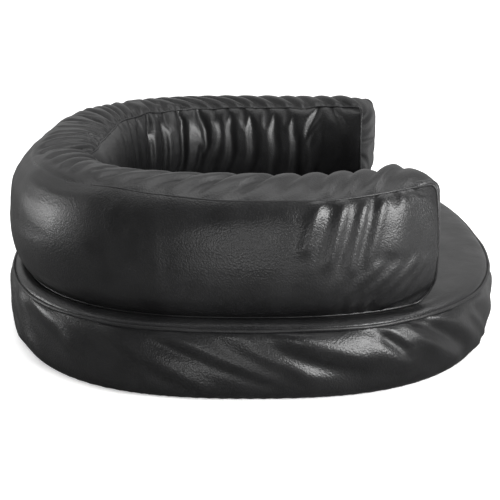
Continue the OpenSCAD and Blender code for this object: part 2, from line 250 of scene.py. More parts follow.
def spans(grid, wrap):
    """Lengths between neighbouring rows and between neighbouring columns."""
    rows = (np.roll(grid, -1, 0) - grid) if wrap else (grid[1:] - grid[:-1])
    return np.linalg.norm(rows, axis=-1), np.linalg.norm(grid[:, 1:] - grid[:, :-1], axis=-1)


def refine_spans(rest_rows, rest_columns, wrap):
    half_rows = (np.repeat(rest_rows, 2, 0) / 2).T
    half_columns = np.repeat(rest_columns, 2, 1) / 2
    return (interleave(half_rows, pair_sum(half_rows) / 2).T,
            interleave(half_columns, pair_sum(half_columns, wrap) / 2))


# ------------------------------------------------------------------ cloth simulation on a grid
# Position-based dynamics: threads along and across, shear and bending, pressure of the filling,
# the filling itself as a contact, and pinned seams. Fabric cut longer than its seam gathers.
SHEAR_STIFFNESS, DAMPING = 0.35, 0.9


def alternate(size, step):
    """Slices of the starts and ends of threads, in sets that share no point."""
    return [(slice(first, size - step, 2 * step), slice(first + step, size, 2 * step))
            for first in range(2 * step)]


def thread_sets(rows, columns, di, dj, wrap):
    """Slices (start points, end points, rest lengths) of the threads that step by (di, dj)."""
    if di == 0:
        every = slice(None)
        return [((every, start), (every, end), (every, start))
                for start, end in alternate(columns, dj)]
    start_columns = slice(max(-dj, 0), columns - max(dj, 0))
    end_columns = slice(max(dj, 0), columns + min(dj, 0))
    rest_columns = slice(0, columns - abs(dj))
    pairs = [(start, end) for start, end in alternate(rows, di)]
    if wrap:
        pairs.append((slice(rows - di, rows), slice(0, di)))
    return [((start, start_columns), (end, end_columns), (start, rest_columns))
            for start, end in pairs]


def cloth(grid, shape, outward, rest_rows, rest_columns, free, low, high, press,
          steps, passes, bend, wrap, sign):
    """Moves grid under pressure, kept between low and high from shape along outward."""
    grid, shape, outward = grid.astype(SINGLE), shape.astype(SINGLE), outward.astype(SINGLE)
    weight = free.astype(SINGLE)
    rest_rows, rest_columns = rest_rows.astype(SINGLE), rest_columns.astype(SINGLE)
    cell_rows = (rest_rows[:, :-1] + rest_rows[:, 1:]) / 2
    cell_columns = pair_sum(rest_columns, wrap) / 2
    diagonal = np.sqrt(cell_rows ** 2 + cell_columns ** 2)
    threads = (  # step, rest lengths, stiffness
        ((1, 0), rest_rows, 1.0),
        ((0, 1), rest_columns, 1.0),
        ((1, 1), diagonal, SHEAR_STIFFNESS),
        ((1, -1), diagonal, SHEAR_STIFFNESS),
        ((2, 0), pair_sum(rest_rows, wrap), bend),
        ((0, 2), rest_columns[:, :-1] + rest_columns[:, 1:], bend),
    )
    jobs = []
    for (di, dj), rest, stiffness in threads:
        for start, end, part in thread_sets(*grid.shape[:2], di, dj, wrap):
            total = weight[start] + weight[end]
            total = np.where(total > 0, total, 1)
            start_share = (stiffness * weight[start] / total)[..., None].astype(SINGLE)
            end_share = (stiffness * weight[end] / total)[..., None].astype(SINGLE)
            jobs.append((start, end, rest[part], start_share, end_share))
    speed = np.zeros_like(grid)
    weight3 = weight[..., None]
    press3 = (press * weight)[..., None].astype(SINGLE)
    for _ in range(steps):
        before = grid.copy()
        push = press3 * normals(grid, wrap, sign).astype(SINGLE)
        grid += speed * DAMPING * weight3 + push
        for _ in range(passes):
            for start, end, rest, start_share, end_share in jobs:
                starts, ends = grid[start], grid[end]
                gap = ends - starts
                length = np.sqrt(np.einsum("...i,...i->...", gap, gap)) + SINGLE(1e-6)
                gap *= ((length - rest) / length)[..., None]
                starts += start_share * gap
                ends -= end_share * gap
        depth = np.einsum("...i,...i->...", grid - shape, outward)
        back = ((np.clip(depth, low, high) - depth) * weight).astype(SINGLE)
        grid += back[..., None] * outward
        speed = grid - before
    return grid.astype(float)


def edge_free(rows, columns, wrap):
    """1 where the fabric moves, 0 on its sewn edges."""
    free = np.ones((rows, columns))
    free[:, 0] = free[:, -1] = 0
    if not wrap:
        free[0] = free[-1] = 0
    return free


def simulate(grid, wrap, sign, gather, low, high, press, levels, seed=None, free=None,
             adjust=None):
    """Simulates a cover on its plain shape, each level twice as fine as the one before.

    gather is fabric length over seam length, along rows and columns. low, high and press may be
    numbers or fields. Each level is (steps, passes, bending stiffness).
    """
    shape = grid.copy()
    outward = normals(shape, wrap, sign)
    size = grid.shape[:2]
    low, high, press = (np.full(size, value, float) for value in (low, high, press))
    if free is None:
        free = edge_free(*size, wrap)
    rest_rows, rest_columns = spans(shape, wrap)
    if adjust is not None:
        rest_rows = adjust(rest_rows)
    rest_rows = rest_rows * gather[0]
    rest_columns = rest_columns * gather[1]
    if seed is not None:
        grid = grid + (seed * free)[..., None] * outward
    for number, (steps, passes, bend) in enumerate(levels):
        if number:
            rest_rows, rest_columns = refine_spans(rest_rows, rest_columns, wrap)
            grid, shape = refine(grid, wrap), refine(shape, wrap)
            outward = normals(shape, wrap, sign)
            low, high, press = (refine_field(field, wrap) for field in (low, high, press))
            free = edge_free(*grid.shape[:2], wrap)
        grid = cloth(grid, shape, outward, rest_rows, rest_columns, free, low, high, press,
                     steps, passes, bend, wrap, sign)
    return grid


# ------------------------------------------------------------------ meshes
def mesh_object(name, points, faces):
    """A smooth-shaded object from points in mm."""
    if isinstance(faces, np.ndarray):
        faces = faces.tolist()
    mesh = bpy.data.meshes.new(name)
    mesh.from_pydata((np.asarray(points, float) * MM).tolist(), [], faces)
    mesh.validate()
    mesh.update()
    mesh.polygons.foreach_set("use_smooth", [True] * len(mesh.polygons))
    ob = bpy.data.objects.new(name, mesh)
    bpy.context.scene.collection.objects.link(ob)
    return ob


def solid(name, points, faces):
    """A mesh object whose faces are turned outwards."""
    ob = mesh_object(name, points, faces)
    work = bmesh.new()
    work.from_mesh(ob.data)
    bmesh.ops.recalc_face_normals(work, faces=work.faces)
    work.to_mesh(ob.data)
    work.free()
    ob.data.update()
    return ob


def grid_quads(rows, columns, wrap=False, wrap_columns=False):
    i, j = mesh_grid(np.arange(rows if wrap else rows - 1),
                     np.arange(columns if wrap_columns else columns - 1))
    i2, j2 = (i + 1) % rows, (j + 1) % columns
    corners = [i * columns + j, i2 * columns + j, i2 * columns + j2, i * columns + j2]
    return np.stack(corners, -1).reshape(-1, 4)


def layer_faces(rows, columns, wrap):
    """Faces of two layers of one grid, joined along their edges."""
    count = rows * columns
    quads = grid_quads(rows, columns, wrap)
    here = np.arange(rows if wrap else rows - 1) * columns
    after = (here + columns) % count
    end = columns - 1
    faces = [quads, quads[:, ::-1] + count,
             np.stack([after, here, here + count, after + count], -1),
             np.stack([here + end, after + end, after + end + count, here + end + count], -1)]
    if not wrap:
        j = np.arange(end)
        faces.append(np.stack([j, j + 1, j + 1 + count, j + count], -1))
        j = j + count - columns
        faces.append(np.stack([j + 1, j, j + count, j + 1 + count], -1))
    return np.concatenate(faces)


def sheet(name, grid, thickness, wrap, sign):
    """A closed piece of fabric from a grid of points on its outer face."""
    rows, columns = grid.shape[:2]
    count = rows * columns
    normal = normals(grid, wrap, sign)
    for _ in range(2):
        soft = normal.copy()
        soft[:, 1:-1] = (normal[:, :-2] + normal[:, 2:] + 2 * normal[:, 1:-1]) / 4
        if wrap:
            soft = (np.roll(soft, 1, 0) + np.roll(soft, -1, 0) + 2 * soft) / 4
        else:
            soft[1:-1] = (soft[:-2] + soft[2:] + 2 * soft[1:-1]) / 4
        normal = soft / np.linalg.norm(soft, axis=-1, keepdims=True)
    points = np.concatenate([grid.reshape(-1, 3), (grid - normal * thickness).reshape(-1, 3)])
    faces = layer_faces(rows, columns, wrap)
    ob = mesh_object(name, points, faces if sign > 0 else faces[:, ::-1])
    # sharp cut edges, so that they don't bend the shading of the face beside them
    mesh = ob.data
    ends = np.empty(len(mesh.edges) * 2, dtype=np.int32)
    mesh.edges.foreach_get("vertices", ends)
    ends = ends.reshape(-1, 2)
    row, column = (ends % count) // columns, (ends % count) % columns
    same_layer = (ends[:, 0] < count) == (ends[:, 1] < count)
    cut = (column == 0).all(1) | (column == columns - 1).all(1)
    if not wrap:
        cut = cut | (row == 0).all(1) | (row == rows - 1).all(1)
    mark = (mesh.attributes.get("sharp_edge")
            or mesh.attributes.new("sharp_edge", "BOOLEAN", "EDGE"))
    mark.data.foreach_set("value", (cut & same_layer).astype(bool))
    return ob


def tube(name, centres, across, radius, sides, seed):
    """A closed, slightly uneven cord. across is a direction that is never along the cord."""
    travel = np.roll(centres, -1, 0) - np.roll(centres, 1, 0)
    travel /= np.linalg.norm(travel, axis=1, keepdims=True)
    second = np.cross(travel, across)
    second /= np.linalg.norm(second, axis=1, keepdims=True)
    first = np.cross(second, travel)
    count = len(centres)
    step = np.linalg.norm(np.roll(centres, -1, 0) - centres, axis=1)
    along = np.concatenate([[0], np.cumsum(step)[:-1]])

    def wave(period, number):
        return loop_noise1(along, step.sum(), period, number)[:, None]

    turn = (np.arange(sides) * 2 * math.pi / sides)[None, :]
    uneven = (1 + 0.05 * wave(9, seed) + 0.05 * wave(23, seed + 1)
              + 0.035 * np.cos(turn - wave(30, seed + 2) * 4))
    radii = (np.broadcast_to(radius, (count,))[:, None] * uneven)[..., None]
    points = centres[:, None, :] + radii * (np.cos(turn)[..., None] * first[:, None, :]
                                            + np.sin(turn)[..., None] * second[:, None, :])
    return mesh_object(name, points.reshape(-1, 3), grid_quads(count, sides, True, True))


def even_loop(rows, dims, step=None, count=None):
    """Resamples a closed run of rows to even spacing. The first dims columns are the place."""
    rows = np.concatenate([rows, rows[:1]])
    length = running_length(rows[:, :dims])
    count = count or int(round(length[-1] / step / 4)) * 4
    at = np.arange(count) * length[-1] / count
    return np.stack([np.interp(at, length, column) for column in rows.T], -1)


def blur_loop(values, sigma):
    reach = int(sigma * 3) + 1
    shifts = range(-reach, reach + 1)
    kernel = np.exp(-0.5 * (np.array(shifts) / sigma) ** 2)
    kernel /= kernel.sum()
    return sum(weight * np.roll(values, shift, 0) for shift, weight in zip(shifts, kernel))


def ring_quads(count, size):
    return grid_quads(count, size, wrap_columns=True)[:, [0, 3, 2, 1]].tolist()


def loft(name, rings):
    """A solid through rings of equal length, closed with fans on the middles of its ends."""
    rings = np.asarray(rings, float)
    count, size = rings.shape[:2]
    total = count * size
    points = np.concatenate([rings.reshape(-1, 3), rings[0].mean(0)[None],
                             rings[-1].mean(0)[None]])
    faces = ring_quads(count, size)
    for j in range(size):
        j2 = (j + 1) % size
        faces.append([total, j2, j])
        faces.append([total + 1, total - size + j, total - size + j2])
    return solid(name, points, faces)


# ------------------------------------------------------------------ the base's outline
RIM_ANGLES = np.linspace(0, 2 * math.pi, 8001)
RIM_LENGTHS = running_length(oval(RIM_ANGLES, *BASE_OVAL))
RIM = RIM_LENGTHS[-1]


def rim_point(along, inset):
    """Point at a length round the rim, inset towards the middle."""
    angle = np.interp(np.mod(along, RIM), RIM_LENGTHS, RIM_ANGLES)
    edge = oval(angle, *BASE_OVAL)
    inset = np.broadcast_to(np.asarray(inset, float), angle.shape)
    deep = (inset - ROUND_INSET) / (BASE_OVAL[1] - ROUND_INSET)
    scale = np.where(inset <= ROUND_INSET, 1, 1 - deep)
    shift = np.minimum(inset, ROUND_INSET)[..., None] * oval_normal(edge, *BASE_OVAL)
    return (edge - shift) * scale[..., None]


def even_rim(count):
    return np.arange(count) * RIM / count


# ------------------------------------------------------------------ the bolster's path
def path_edges(angle):
    return oval(angle, *OUTER_OVAL), oval(angle, *INNER_OVAL) - np.array([0, INNER_SHIFT])


PATH_ANGLES = np.linspace(START_ANGLE, END_ANGLE, 8001)
PATH_LENGTHS = running_length(sum(path_edges(PATH_ANGLES)) / 2)
PATH = PATH_LENGTHS[-1]
RUN = PATH + 2 * OVER


def path(along):
    """Middle, outward direction, half thickness, direction of travel and height factor."""
    along = np.asarray(along, float)
    inside = np.clip(along, 0, PATH)
    angle = np.interp(inside, PATH_LENGTHS, PATH_ANGLES)
    outer, inner = path_edges(angle)
    gap = outer - inner
    width = np.linalg.norm(gap, axis=-1, keepdims=True)
    outward = gap / width
    travel = np.stack([-outward[..., 1], outward[..., 0]], -1)
    middle = (outer + inner) / 2 + travel * (along - inside)[..., None]
    end_angle = np.degrees(np.minimum(angle - START_ANGLE, END_ANGLE - angle))
    return middle, outward, width[..., 0] / 2, travel, 1 + ARM_LIFT * smooth(1 - end_angle / 20)


def end_gap(along):
    return np.minimum(along, PATH - along)


def retreat(z):
    """How far a wall's end edge draws back near its two corners."""
    foot = np.clip(FOOT_R - z, 0, FOOT_R)
    top = np.clip(z - (BOLSTER_H * END_LIFT - TOP_R), 0, TOP_R)
    return ((FOOT_R - np.sqrt(np.maximum(FOOT_R ** 2 - foot ** 2, 0)))
            + (TOP_R - np.sqrt(np.maximum(TOP_R ** 2 - top ** 2, 0))))


def round_back(along):
    """0 along the arms, 1 round the back, where the cover is pulled tight over the top."""
    return smooth((end_gap(along) - 150) / 130)


def hidden(along):
    """1 where the outer seam is drawn in under the cover, round the back."""
    return smooth((end_gap(along) - 296) / 45)


def pinched(along):
    """Where the inner seam is drawn outwards, at the -X back corner."""
    return bell(along, PATH - 478, 24)


def fillet(along, seam_gap):
    """How far the cover is rounded off over the hidden seam, seam_gap mm from the seam."""
    return 2.4 * hidden(along) * np.clip(1 - seam_gap / 15.0, 0, 1) ** 2


def seam_wander(side, along):
    """How far the top seam wanders, sideways and up."""
    if side > 0:
        fade = smooth((along + OVER) / 40.0) * smooth((PATH + OVER - along) / 40.0)
        tight = round_back(along)
        return (0.8 * noise1(along, 38, seed=11) * fade - 11 * tight,
                0.8 * noise1(along, 31, seed=12) * fade + 5.0 * tight)
    fade = smooth((along + OVER) / 40.0) * smooth((PATH + OVER - along) / 40.0)
    pinch = pinched(along)
    return (1.5 * noise1(along, 27, seed=13) * fade
            - 4.5 * smooth((end_gap(along) - 300) / 90) - 11 * pinch,
            1.4 * noise1(along, 24, seed=14) * fade - 3.0 * pinch)


def wall_half(side, half, level):
    swell, profile = SWELL[side]
    return half + swell * np.interp(level, *profile)


def wall_grid(side):
    """Plain shape of a side wall: rows along the bolster, columns from bottom to top seam."""
    rows = int(round(RUN / GRID_STEP)) + 1
    share, level = mesh_grid(np.linspace(0, 1, rows), np.linspace(0, 1, 25))
    run = share * RUN
    back = retreat(level * BOLSTER_H * END_LIFT)
    run = (run + back * np.clip(1 - run / 130, 0, 1) ** 3
           - back * np.clip(1 - (RUN - run) / 130, 0, 1) ** 3)
    along = run - OVER
    middle, outward, half, _, lift = path(along)
    width = wall_half(side, half, level)
    seam_out, seam_up = seam_wander(side, along)
    top = smooth((level - 0.45) / 0.55)
    z = FOOT_Z + 0.8 + level * (BOLSTER_H * lift - 0.8) + seam_up * top
    tuck = 1.0 * smooth((level - 0.97) / 0.03)
    width = width + seam_out * top - tuck * (1 - hidden(along) * (side > 0))
    if side > 0:
        # round the tight back the wall rolls over into the top without a step
        width = width + (5.0 * round_back(along) * smooth((level - 0.5) / 0.3)
                         * (1 - smooth((level - 0.88) / 0.12)))
    width = width + 0.3 * (1 - smooth(level / 0.04))
    if side > 0:
        corner = fillet(along, (1 - level) * BOLSTER_H)
        width = width - FILLET_IN * corner
        z = z - FOOT_SINK * (1 - level) ** 3 - FILLET_DOWN * corner
    return with_z(middle + side * width[..., None] * outward, z), along, level


def strip_outline():
    """The strip's run, up one arm end, along the top and down the other.

    Returns running length, length along the bolster, height above the foot and tilt in radians.
    """
    end_height = BOLSTER_H * END_LIFT
    arm = [(FOOT_R - FOOT_R * math.cos(tilt), FOOT_R + FOOT_R * math.sin(tilt), tilt)
           for tilt in np.radians(np.linspace(-78, 0, 24))]
    arm += [(0.0, z, 0.0) for z in np.linspace(FOOT_R, end_height - TOP_R, 40)[1:-1]]
    arm += [(TOP_R - TOP_R * math.cos(tilt), end_height - TOP_R + TOP_R * math.sin(tilt), tilt)
            for tilt in np.radians(np.linspace(0, 90, 24))]
    first = np.array(arm)
    run = np.linspace(TOP_R, RUN - TOP_R, 1500)[1:-1]
    top = np.stack([run, BOLSTER_H * path(run - OVER)[4], np.full_like(run, math.pi / 2)], -1)
    last = first[::-1].copy()
    last[:, 0] = RUN - last[:, 0]
    rows = np.concatenate([first, top, last])
    steps = np.hypot(np.diff(rows[:, 0]), np.diff(rows[:, 1]))
    length = np.concatenate([[0], np.cumsum(steps)])
    return length, rows[:, 0] - OVER, rows[:, 1], rows[:, 2]


STRIP_OUTLINE = strip_outline()
STRIP_RUN = STRIP_OUTLINE[0][-1]


def strip_frame(run):
    """Places and directions along the strip, both half widths, tilt in degrees, level, along."""
    along, height, tilt = (np.interp(run, STRIP_OUTLINE[0], column)
                           for column in STRIP_OUTLINE[1:])
    end = np.where(run < STRIP_RUN / 2, 1.0, -1.0)
    middle, outward, half, travel, lift = path(along)
    level = height / (BOLSTER_H * lift)
    place = with_z(middle, FOOT_Z + height)
    across = with_z(outward, 0.0)
    up = with_z(-travel * (end * np.cos(tilt))[..., None], np.sin(tilt))
    return (place, across, up, wall_half(1, half, level), wall_half(-1, half, level),
            np.degrees(tilt), level, along)


def cover_rise(along):
    """How full the top is: less on the +X arm, least at the pinch."""
    return (1 - 0.4 * smooth((480 - along) / 160)) * (1 - 0.7 * pinched(along))


def strip_grid():
    """Plain shape of the gathered strip: rows along its run, columns from inner to outer wall."""
    run = np.linspace(0, STRIP_RUN, int(round(STRIP_RUN / GRID_STEP)) + 1)
    place, cross_dir, up, outer_half, inner_half, tilt, level, along = strip_frame(run)
    across = np.linspace(-1, 1, 17)
    rise = 9.0 * np.minimum(1, 0.35 + level) + (TOP_RISE - 9.0) * smooth(tilt / 90)
    rise = rise * smooth((level + 0.02) / 0.30) * cover_rise(along)
    top = smooth((tilt - 60) / 30)
    outer_out, outer_up = seam_wander(1, along)
    inner_out, inner_up = seam_wander(-1, along)
    outer, inner = np.clip(across, 0, 1), np.clip(-across, 0, 1)
    width = (outer[None, :] * (outer_half + outer_out * top)[:, None]
             - inner[None, :] * (inner_half + inner_out * top)[:, None])
    groove = np.where(across[None, :] > 0, 0.7 * (1 - hidden(along))[:, None],
                      (1.2 + 2.2 * pinched(along))[:, None])
    height = (rise[:, None] * (1 - np.abs(across[None, :]) ** 2.2)
              - groove * smooth((np.abs(across) - 0.93) / 0.07)[None, :])
    height = height + top[:, None] * (outer_up[:, None] * smooth(outer)[None, :]
                                      + inner_up[:, None] * smooth(inner)[None, :])
    corner = (fillet(along, 0.0)[:, None]
              * np.clip(1 - (1 - outer) * 42 / 15.0, 0, 1)[None, :] ** 2)
    width = width - FILLET_IN * corner
    height = height - FILLET_DOWN * corner
    grid = (place[:, None, :] + width[..., None] * cross_dir[:, None, :]
            + height[..., None] * up[:, None, :])
    grid[..., 2] = np.maximum(grid[..., 2], FOOT_Z + 0.6)
    grid[..., 2] -= FOOT_SINK * smooth(outer)[None, :] * ((1 - np.clip(level, 0, 1)) ** 3)[:, None]
    return grid, run, along, across, tilt


def seam_loop(side):
    """The closed seam round one side wall. Columns: place (3), across (3), cord radius."""
    place, across, up, outer_half, inner_half, tilt, level, along = strip_frame(
        np.linspace(0, STRIP_RUN, 900))
    top = smooth((tilt - 60) / 30)
    seam_out, seam_up = seam_wander(side, along)
    width = (outer_half if side > 0 else inner_half) + seam_out * top
    deeper = 0
    if side > 0:
        deeper = 0.7 * smooth((end_gap(along) - 60) / 60) + 1.8 * hidden(along)
        corner = fillet(along, 0.0) * top
        width, seam_up = width - FILLET_IN * corner, seam_up - FILLET_DOWN * corner
    sink = (0.4 + deeper) * top
    over = (place + side * (width - 0.4 * sink)[:, None] * across
            + (seam_up * top)[:, None] * np.array([0, 0, 1]) + (0.1 - sink)[:, None] * up)
    middle, outward, half, _, _ = path(np.linspace(along[-1], along[0], 700)[1:-1])
    lowest = FOOT_Z + CORD_R + 0.3
    under = with_z(middle + side * (half + 0.7)[:, None] * outward, lowest)
    over[:, 2] = np.maximum(over[:, 2], lowest)
    if side > 0:
        over[:, 2] -= FOOT_SINK * (1 - np.clip(level, 0, 1)) ** 3
        under[:, 2] -= FOOT_SINK
    radius = np.concatenate([CORD_R * (1 - 0.28 * top), np.full(len(under), CORD_R)])
    directions = np.concatenate([across, with_z(outward, 0.0)])
    return np.concatenate([np.concatenate([over, under]), directions, radius[:, None]], 1)


# ------------------------------------------------------------------ gathers and folds
def pleats(x, level, pitch, spread, seed, slant=0.0):
    """Seeds for gathers: a wave of changing pitch along x."""
    samples = np.linspace(x.min() - 50, x.max() + 50, 4000)
    waves = pitch * (1 + spread * noise1(samples, pitch * 2.3, seed))
    turns = np.diff(samples) * 2 * math.pi / ((waves[1:] + waves[:-1]) / 2)
    phase = np.interp(x + slant * level, samples, np.concatenate([[0], np.cumsum(turns)]))
    return np.cos(phase + 1.2 * noise2(x, level * 40, (pitch * 3, 30), seed + 5))


def crest_wave(x, crests, pitch, seed):
    """A wave with its crests at the given places, going on past them with a changing pitch."""
    rng = np.random.default_rng(seed)
    left, right = [crests[0]], [crests[-1]]
    while left[-1] > -400:
        left.append(left[-1] - pitch * rng.uniform(0.72, 1.3))
    while right[-1] < PATH + 500:
        right.append(right[-1] + pitch * rng.uniform(0.72, 1.3))
    knots = np.array(left[::-1][:-1] + list(crests) + right[1:])
    return np.cos(2 * math.pi * np.interp(x, knots, np.arange(len(knots))))


def folds(along, level, height, rows, gain, taper):
    """Sum of ridges along slanting lines, with a shallow hollow on each side of each.

    A row is start along, start level, end along, end level, width, depth. taper is the length
    over which a ridge fades at each end, as a share of its line.
    """
    total = np.zeros_like(along)
    y = level * height
    for x0, level0, x1, level1, width, depth in rows:
        y0 = level0 * height
        line = np.array([x1 - x0, level1 * height - y0], float)
        length = np.linalg.norm(line)
        line /= length
        forward = (along - x0) * line[0] + (y - y0) * line[1]
        offset = (-(along - x0) * line[1] + (y - y0) * line[0]) / width
        fade = (smooth((forward + taper * length) / (taper * length + 1e-6))
                * smooth((length * (1 + taper) - forward) / (taper * length + 1e-6)))
        ridge = 1.35 * np.exp(-offset ** 2) - 0.6 * np.exp(-(offset / 1.9) ** 2)
        total += gain * depth * (fade * ridge / 0.75)
    return total


def settle(grid, shape, share):
    """Lays the simulated cover back on its plain shape where share is 1."""
    return grid + (shape - grid) * share[..., None]


# ------------------------------------------------------------------ covers of the bolster
# Crests of the gathers, as lengths along the bolster
STRIP_CRESTS = [880, 906, 945, 975, 1003, 1046, 1080, 1103, 1130, 1152]
INNER_CRESTS = [93, 128, 158, 200, 232, 253, 278, 322, 356, 392]

# Folds of the outer wall at the -X arm, repeated shallower at the +X arm:
# start along, start level, end along, end level, width, depth
WALL_FOLDS = (
    (1104, 1.0, 1092, 0.62, 6.5, 2.0), (1124, 1.0, 1111, 0.52, 6.0, 2.1),
    (1141, 1.0, 1128, 0.50, 5.5, 2.0), (1157, 1.0, 1143, 0.52, 5.5, 1.8),
    (1173, 0.98, 1164, 0.56, 17, 1.9), (1208, 0.40, 1184, 0.10, 4.5, 0.8),
    (1197, 0.39, 1165, 0.10, 4.5, 1.0), (1184, 0.39, 1147, 0.10, 5, 1.2),
    (1166, 0.38, 1130, 0.10, 5.5, 1.2), (1148, 0.40, 1112, 0.10, 6, 1.2),
    (1128, 0.40, 1098, 0.12, 6, 0.9), (976, 0.92, 981, 0.20, 6, 0.5),
    (962, 0.86, 966, 0.55, 6, 0.4), (940, 0.84, 946, 0.6, 7, 0.35),
)


def gathered_strip():
    plain, run, along, across, tilt = strip_grid()
    run, _ = mesh_grid(run, across)
    tilt, _ = mesh_grid(tilt, across)
    along, across = mesh_grid(along, across)
    gap = end_gap(along)
    inner = smooth((0.8 - across) / 1.3)
    back = smooth((gap - 300) / 60)
    slant = 9 * (across + 0.2) * np.where(along > PATH * 0.62, 1.0, -1.6)
    crest = crest_wave(along + slant, STRIP_CRESTS, pitch=26, seed=21)
    # one wide hump takes the place of the gathers at the -X arm end
    hump = smooth((along - 1163) / 9)
    crest = crest * (1 - hump) + 0.9 * hump - 0.6 * bell(along, 1160, 5)
    fine = crest_wave(along + slant * 0.5 + 3 * noise1(across * 40, 20, seed=24),
                      [0, 14, 26], pitch=14, seed=25)
    seed = ((crest * (1 - 0.5 * back) + 0.5 * back * fine) * (0.10 + 2.7 * inner)
            + 0.2 * noise2(run, across * 40, (16, 30), seed=22))
    seed *= (np.where(along > PATH / 2, smooth((gap - 3) / 12),
                      0.25 + 0.75 * smooth((gap - 5) / 90))
             * (1 - 0.55 * back * smooth(0.5 + noise1(along, 34, seed=27))))
    gather = 1.0 + ((0.075 + 0.01 * back) * inner * (0.4 + 0.6 * smooth((gap - 10) / 80))
                    * (1 - 0.9 * hump))

    def adjust(rest):
        """The inner seam's fabric is cut partly to the outer seam's length."""
        return np.maximum(rest, 0.34 * rest[:, -1:] + 0.66 * rest)

    rise = smooth((tilt + 60) / 60)
    grid = simulate(plain, wrap=False, sign=-1, gather=(pair_sum(gather) / 2, 1.006),
                    low=-3.6 * (1 - np.abs(across) ** 4) * (0.25 + 0.75 * inner) - 0.2,
                    high=3.6 * rise + 0.4, press=0.06 * (0.4 + 0.6 * rise),
                    levels=[(15, 6, 0.34), (8, 6, 0.26)], seed=seed, adjust=adjust)
    across, along = refine_field(across), refine_field(along)
    return settle(grid, refine(plain, False), hidden(along) * smooth((across - 0.5) / 0.35))


WALL_LEVELS = [(13, 6, 0.42), (6, 6, 0.36)]


def outer_wall():
    plain, along, level = wall_grid(1)
    grid = simulate(plain, wrap=False, sign=1, gather=(1.002, 1.0), low=-1.5, high=3.0,
                    press=0.07, levels=WALL_LEVELS,
                    seed=0.5 * noise2(along, level * BOLSTER_H, (90, 60), seed=32))
    along, level = refine_field(along), refine_field(level)
    grid = settle(grid, refine(plain, False), hidden(along) * smooth((level - 0.76) / 0.16))
    # folds pressed into the simulated cover at both arms
    depth = (folds(along, level, BOLSTER_H, WALL_FOLDS, gain=1.0, taper=0.3)
             + folds(PATH - along, level, BOLSTER_H, WALL_FOLDS, gain=0.8, taper=0.3))
    depth += (0.7 * noise2(along, level * BOLSTER_H, (130, 80), seed=35)
              * np.sin(math.pi * level))
    depth *= smooth(level / 0.20) * smooth((1 - level) / np.where(depth < 0, 0.14, 0.04))
    depth[0], depth[-1] = 0, 0
    return grid + depth[..., None] * normals(grid, False, 1)


def inner_wall():
    plain, along, level = wall_grid(-1)
    gap = end_gap(along)
    y = level * BOLSTER_H
    strong = smooth((gap - 60) / 130) * (1 - 0.8 * smooth((gap - 402) / 22))
    gather = 1.012 + 0.030 * strong
    crest = crest_wave(along + 5 * noise2(along, y, (60, 40), seed=43), INNER_CRESTS,
                       pitch=30, seed=41)
    seed = (3.0 * crest * (0.10 + 0.90 * strong) * smooth((level - 0.10) / 0.45)
            * smooth((1 - level) / 0.16))
    fine = pleats(along, level, pitch=9, spread=0.5, seed=44, slant=6)
    seed = (seed + 0.55 * fine * smooth((gap - 395) / 25) * np.sin(math.pi * level)
            + 0.4 * noise2(along, y, (22, 60), seed=42))
    return simulate(plain, wrap=False, sign=-1, gather=(pair_sum(gather) / 2, 1.01), low=-5.0,
                    high=5.0, press=0.06, levels=WALL_LEVELS, seed=seed)


# ------------------------------------------------------------------ covers of the base
# Valleys, then ridges, of the side band's drape on the -X side:
# start along, start level, end along, end level, width, depth
BAND_FOLDS = (
    (1052, 0.86, 1127, 0.47, 7, -1.2), (1127, 0.47, 1205, 0.24, 8, -0.5),
    (940, 0.58, 1005, 0.12, 7, -1.2), (985, 0.76, 1068, 0.26, 6, -1.2),
    (1184, 0.80, 1206, 0.50, 6, -1.3), (1222, 0.95, 1290, 0.42, 8, -1.4),
    (770, 0.70, 826, 0.00, 12, 1.2), (815, 1.0, 905, 0.55, 11, 1.8),
    (880, 0.55, 940, 0.10, 12, 1.4), (930, 0.90, 1012, 0.20, 11, 1.4),
    (984, 0.95, 1072, 0.34, 10, 1.3), (1038, 1.0, 1106, 0.38, 10, 2.0),
    (1085, 0.98, 1150, 0.62, 9, 1.2), (1104, 0.84, 1200, 0.54, 19, 3.3),
    (1176, 1.0, 1203, 0.74, 4.5, 1.5), (1193, 1.0, 1272, 0.24, 11, 2.6),
    (1249, 0.98, 1345, 0.12, 12, 1.5), (1318, 0.70, 1372, 0.18, 6, 1.0),
    (1330, 1.0, 1420, 0.35, 12, 1.2),
)
RIM_ROWS = int(round(RIM / GRID_STEP / 4)) * 4


def random_band_folds():
    """Seeded folds for the rest of the rim, each also given one turn back."""
    rng = np.random.default_rng(57)
    rows = []
    at = 1400.0
    while at < RIM + 740:
        width, depth, top = rng.uniform(9, 15), rng.uniform(1.4, 2.8), rng.uniform(0.75, 1.0)
        bottom, length = rng.uniform(0.1, 0.4), rng.uniform(75, 110)
        for start in (at, at - RIM):
            rows.append((start, top, start + length, bottom, width, depth))
        at += rng.uniform(36, 62)
    return rows


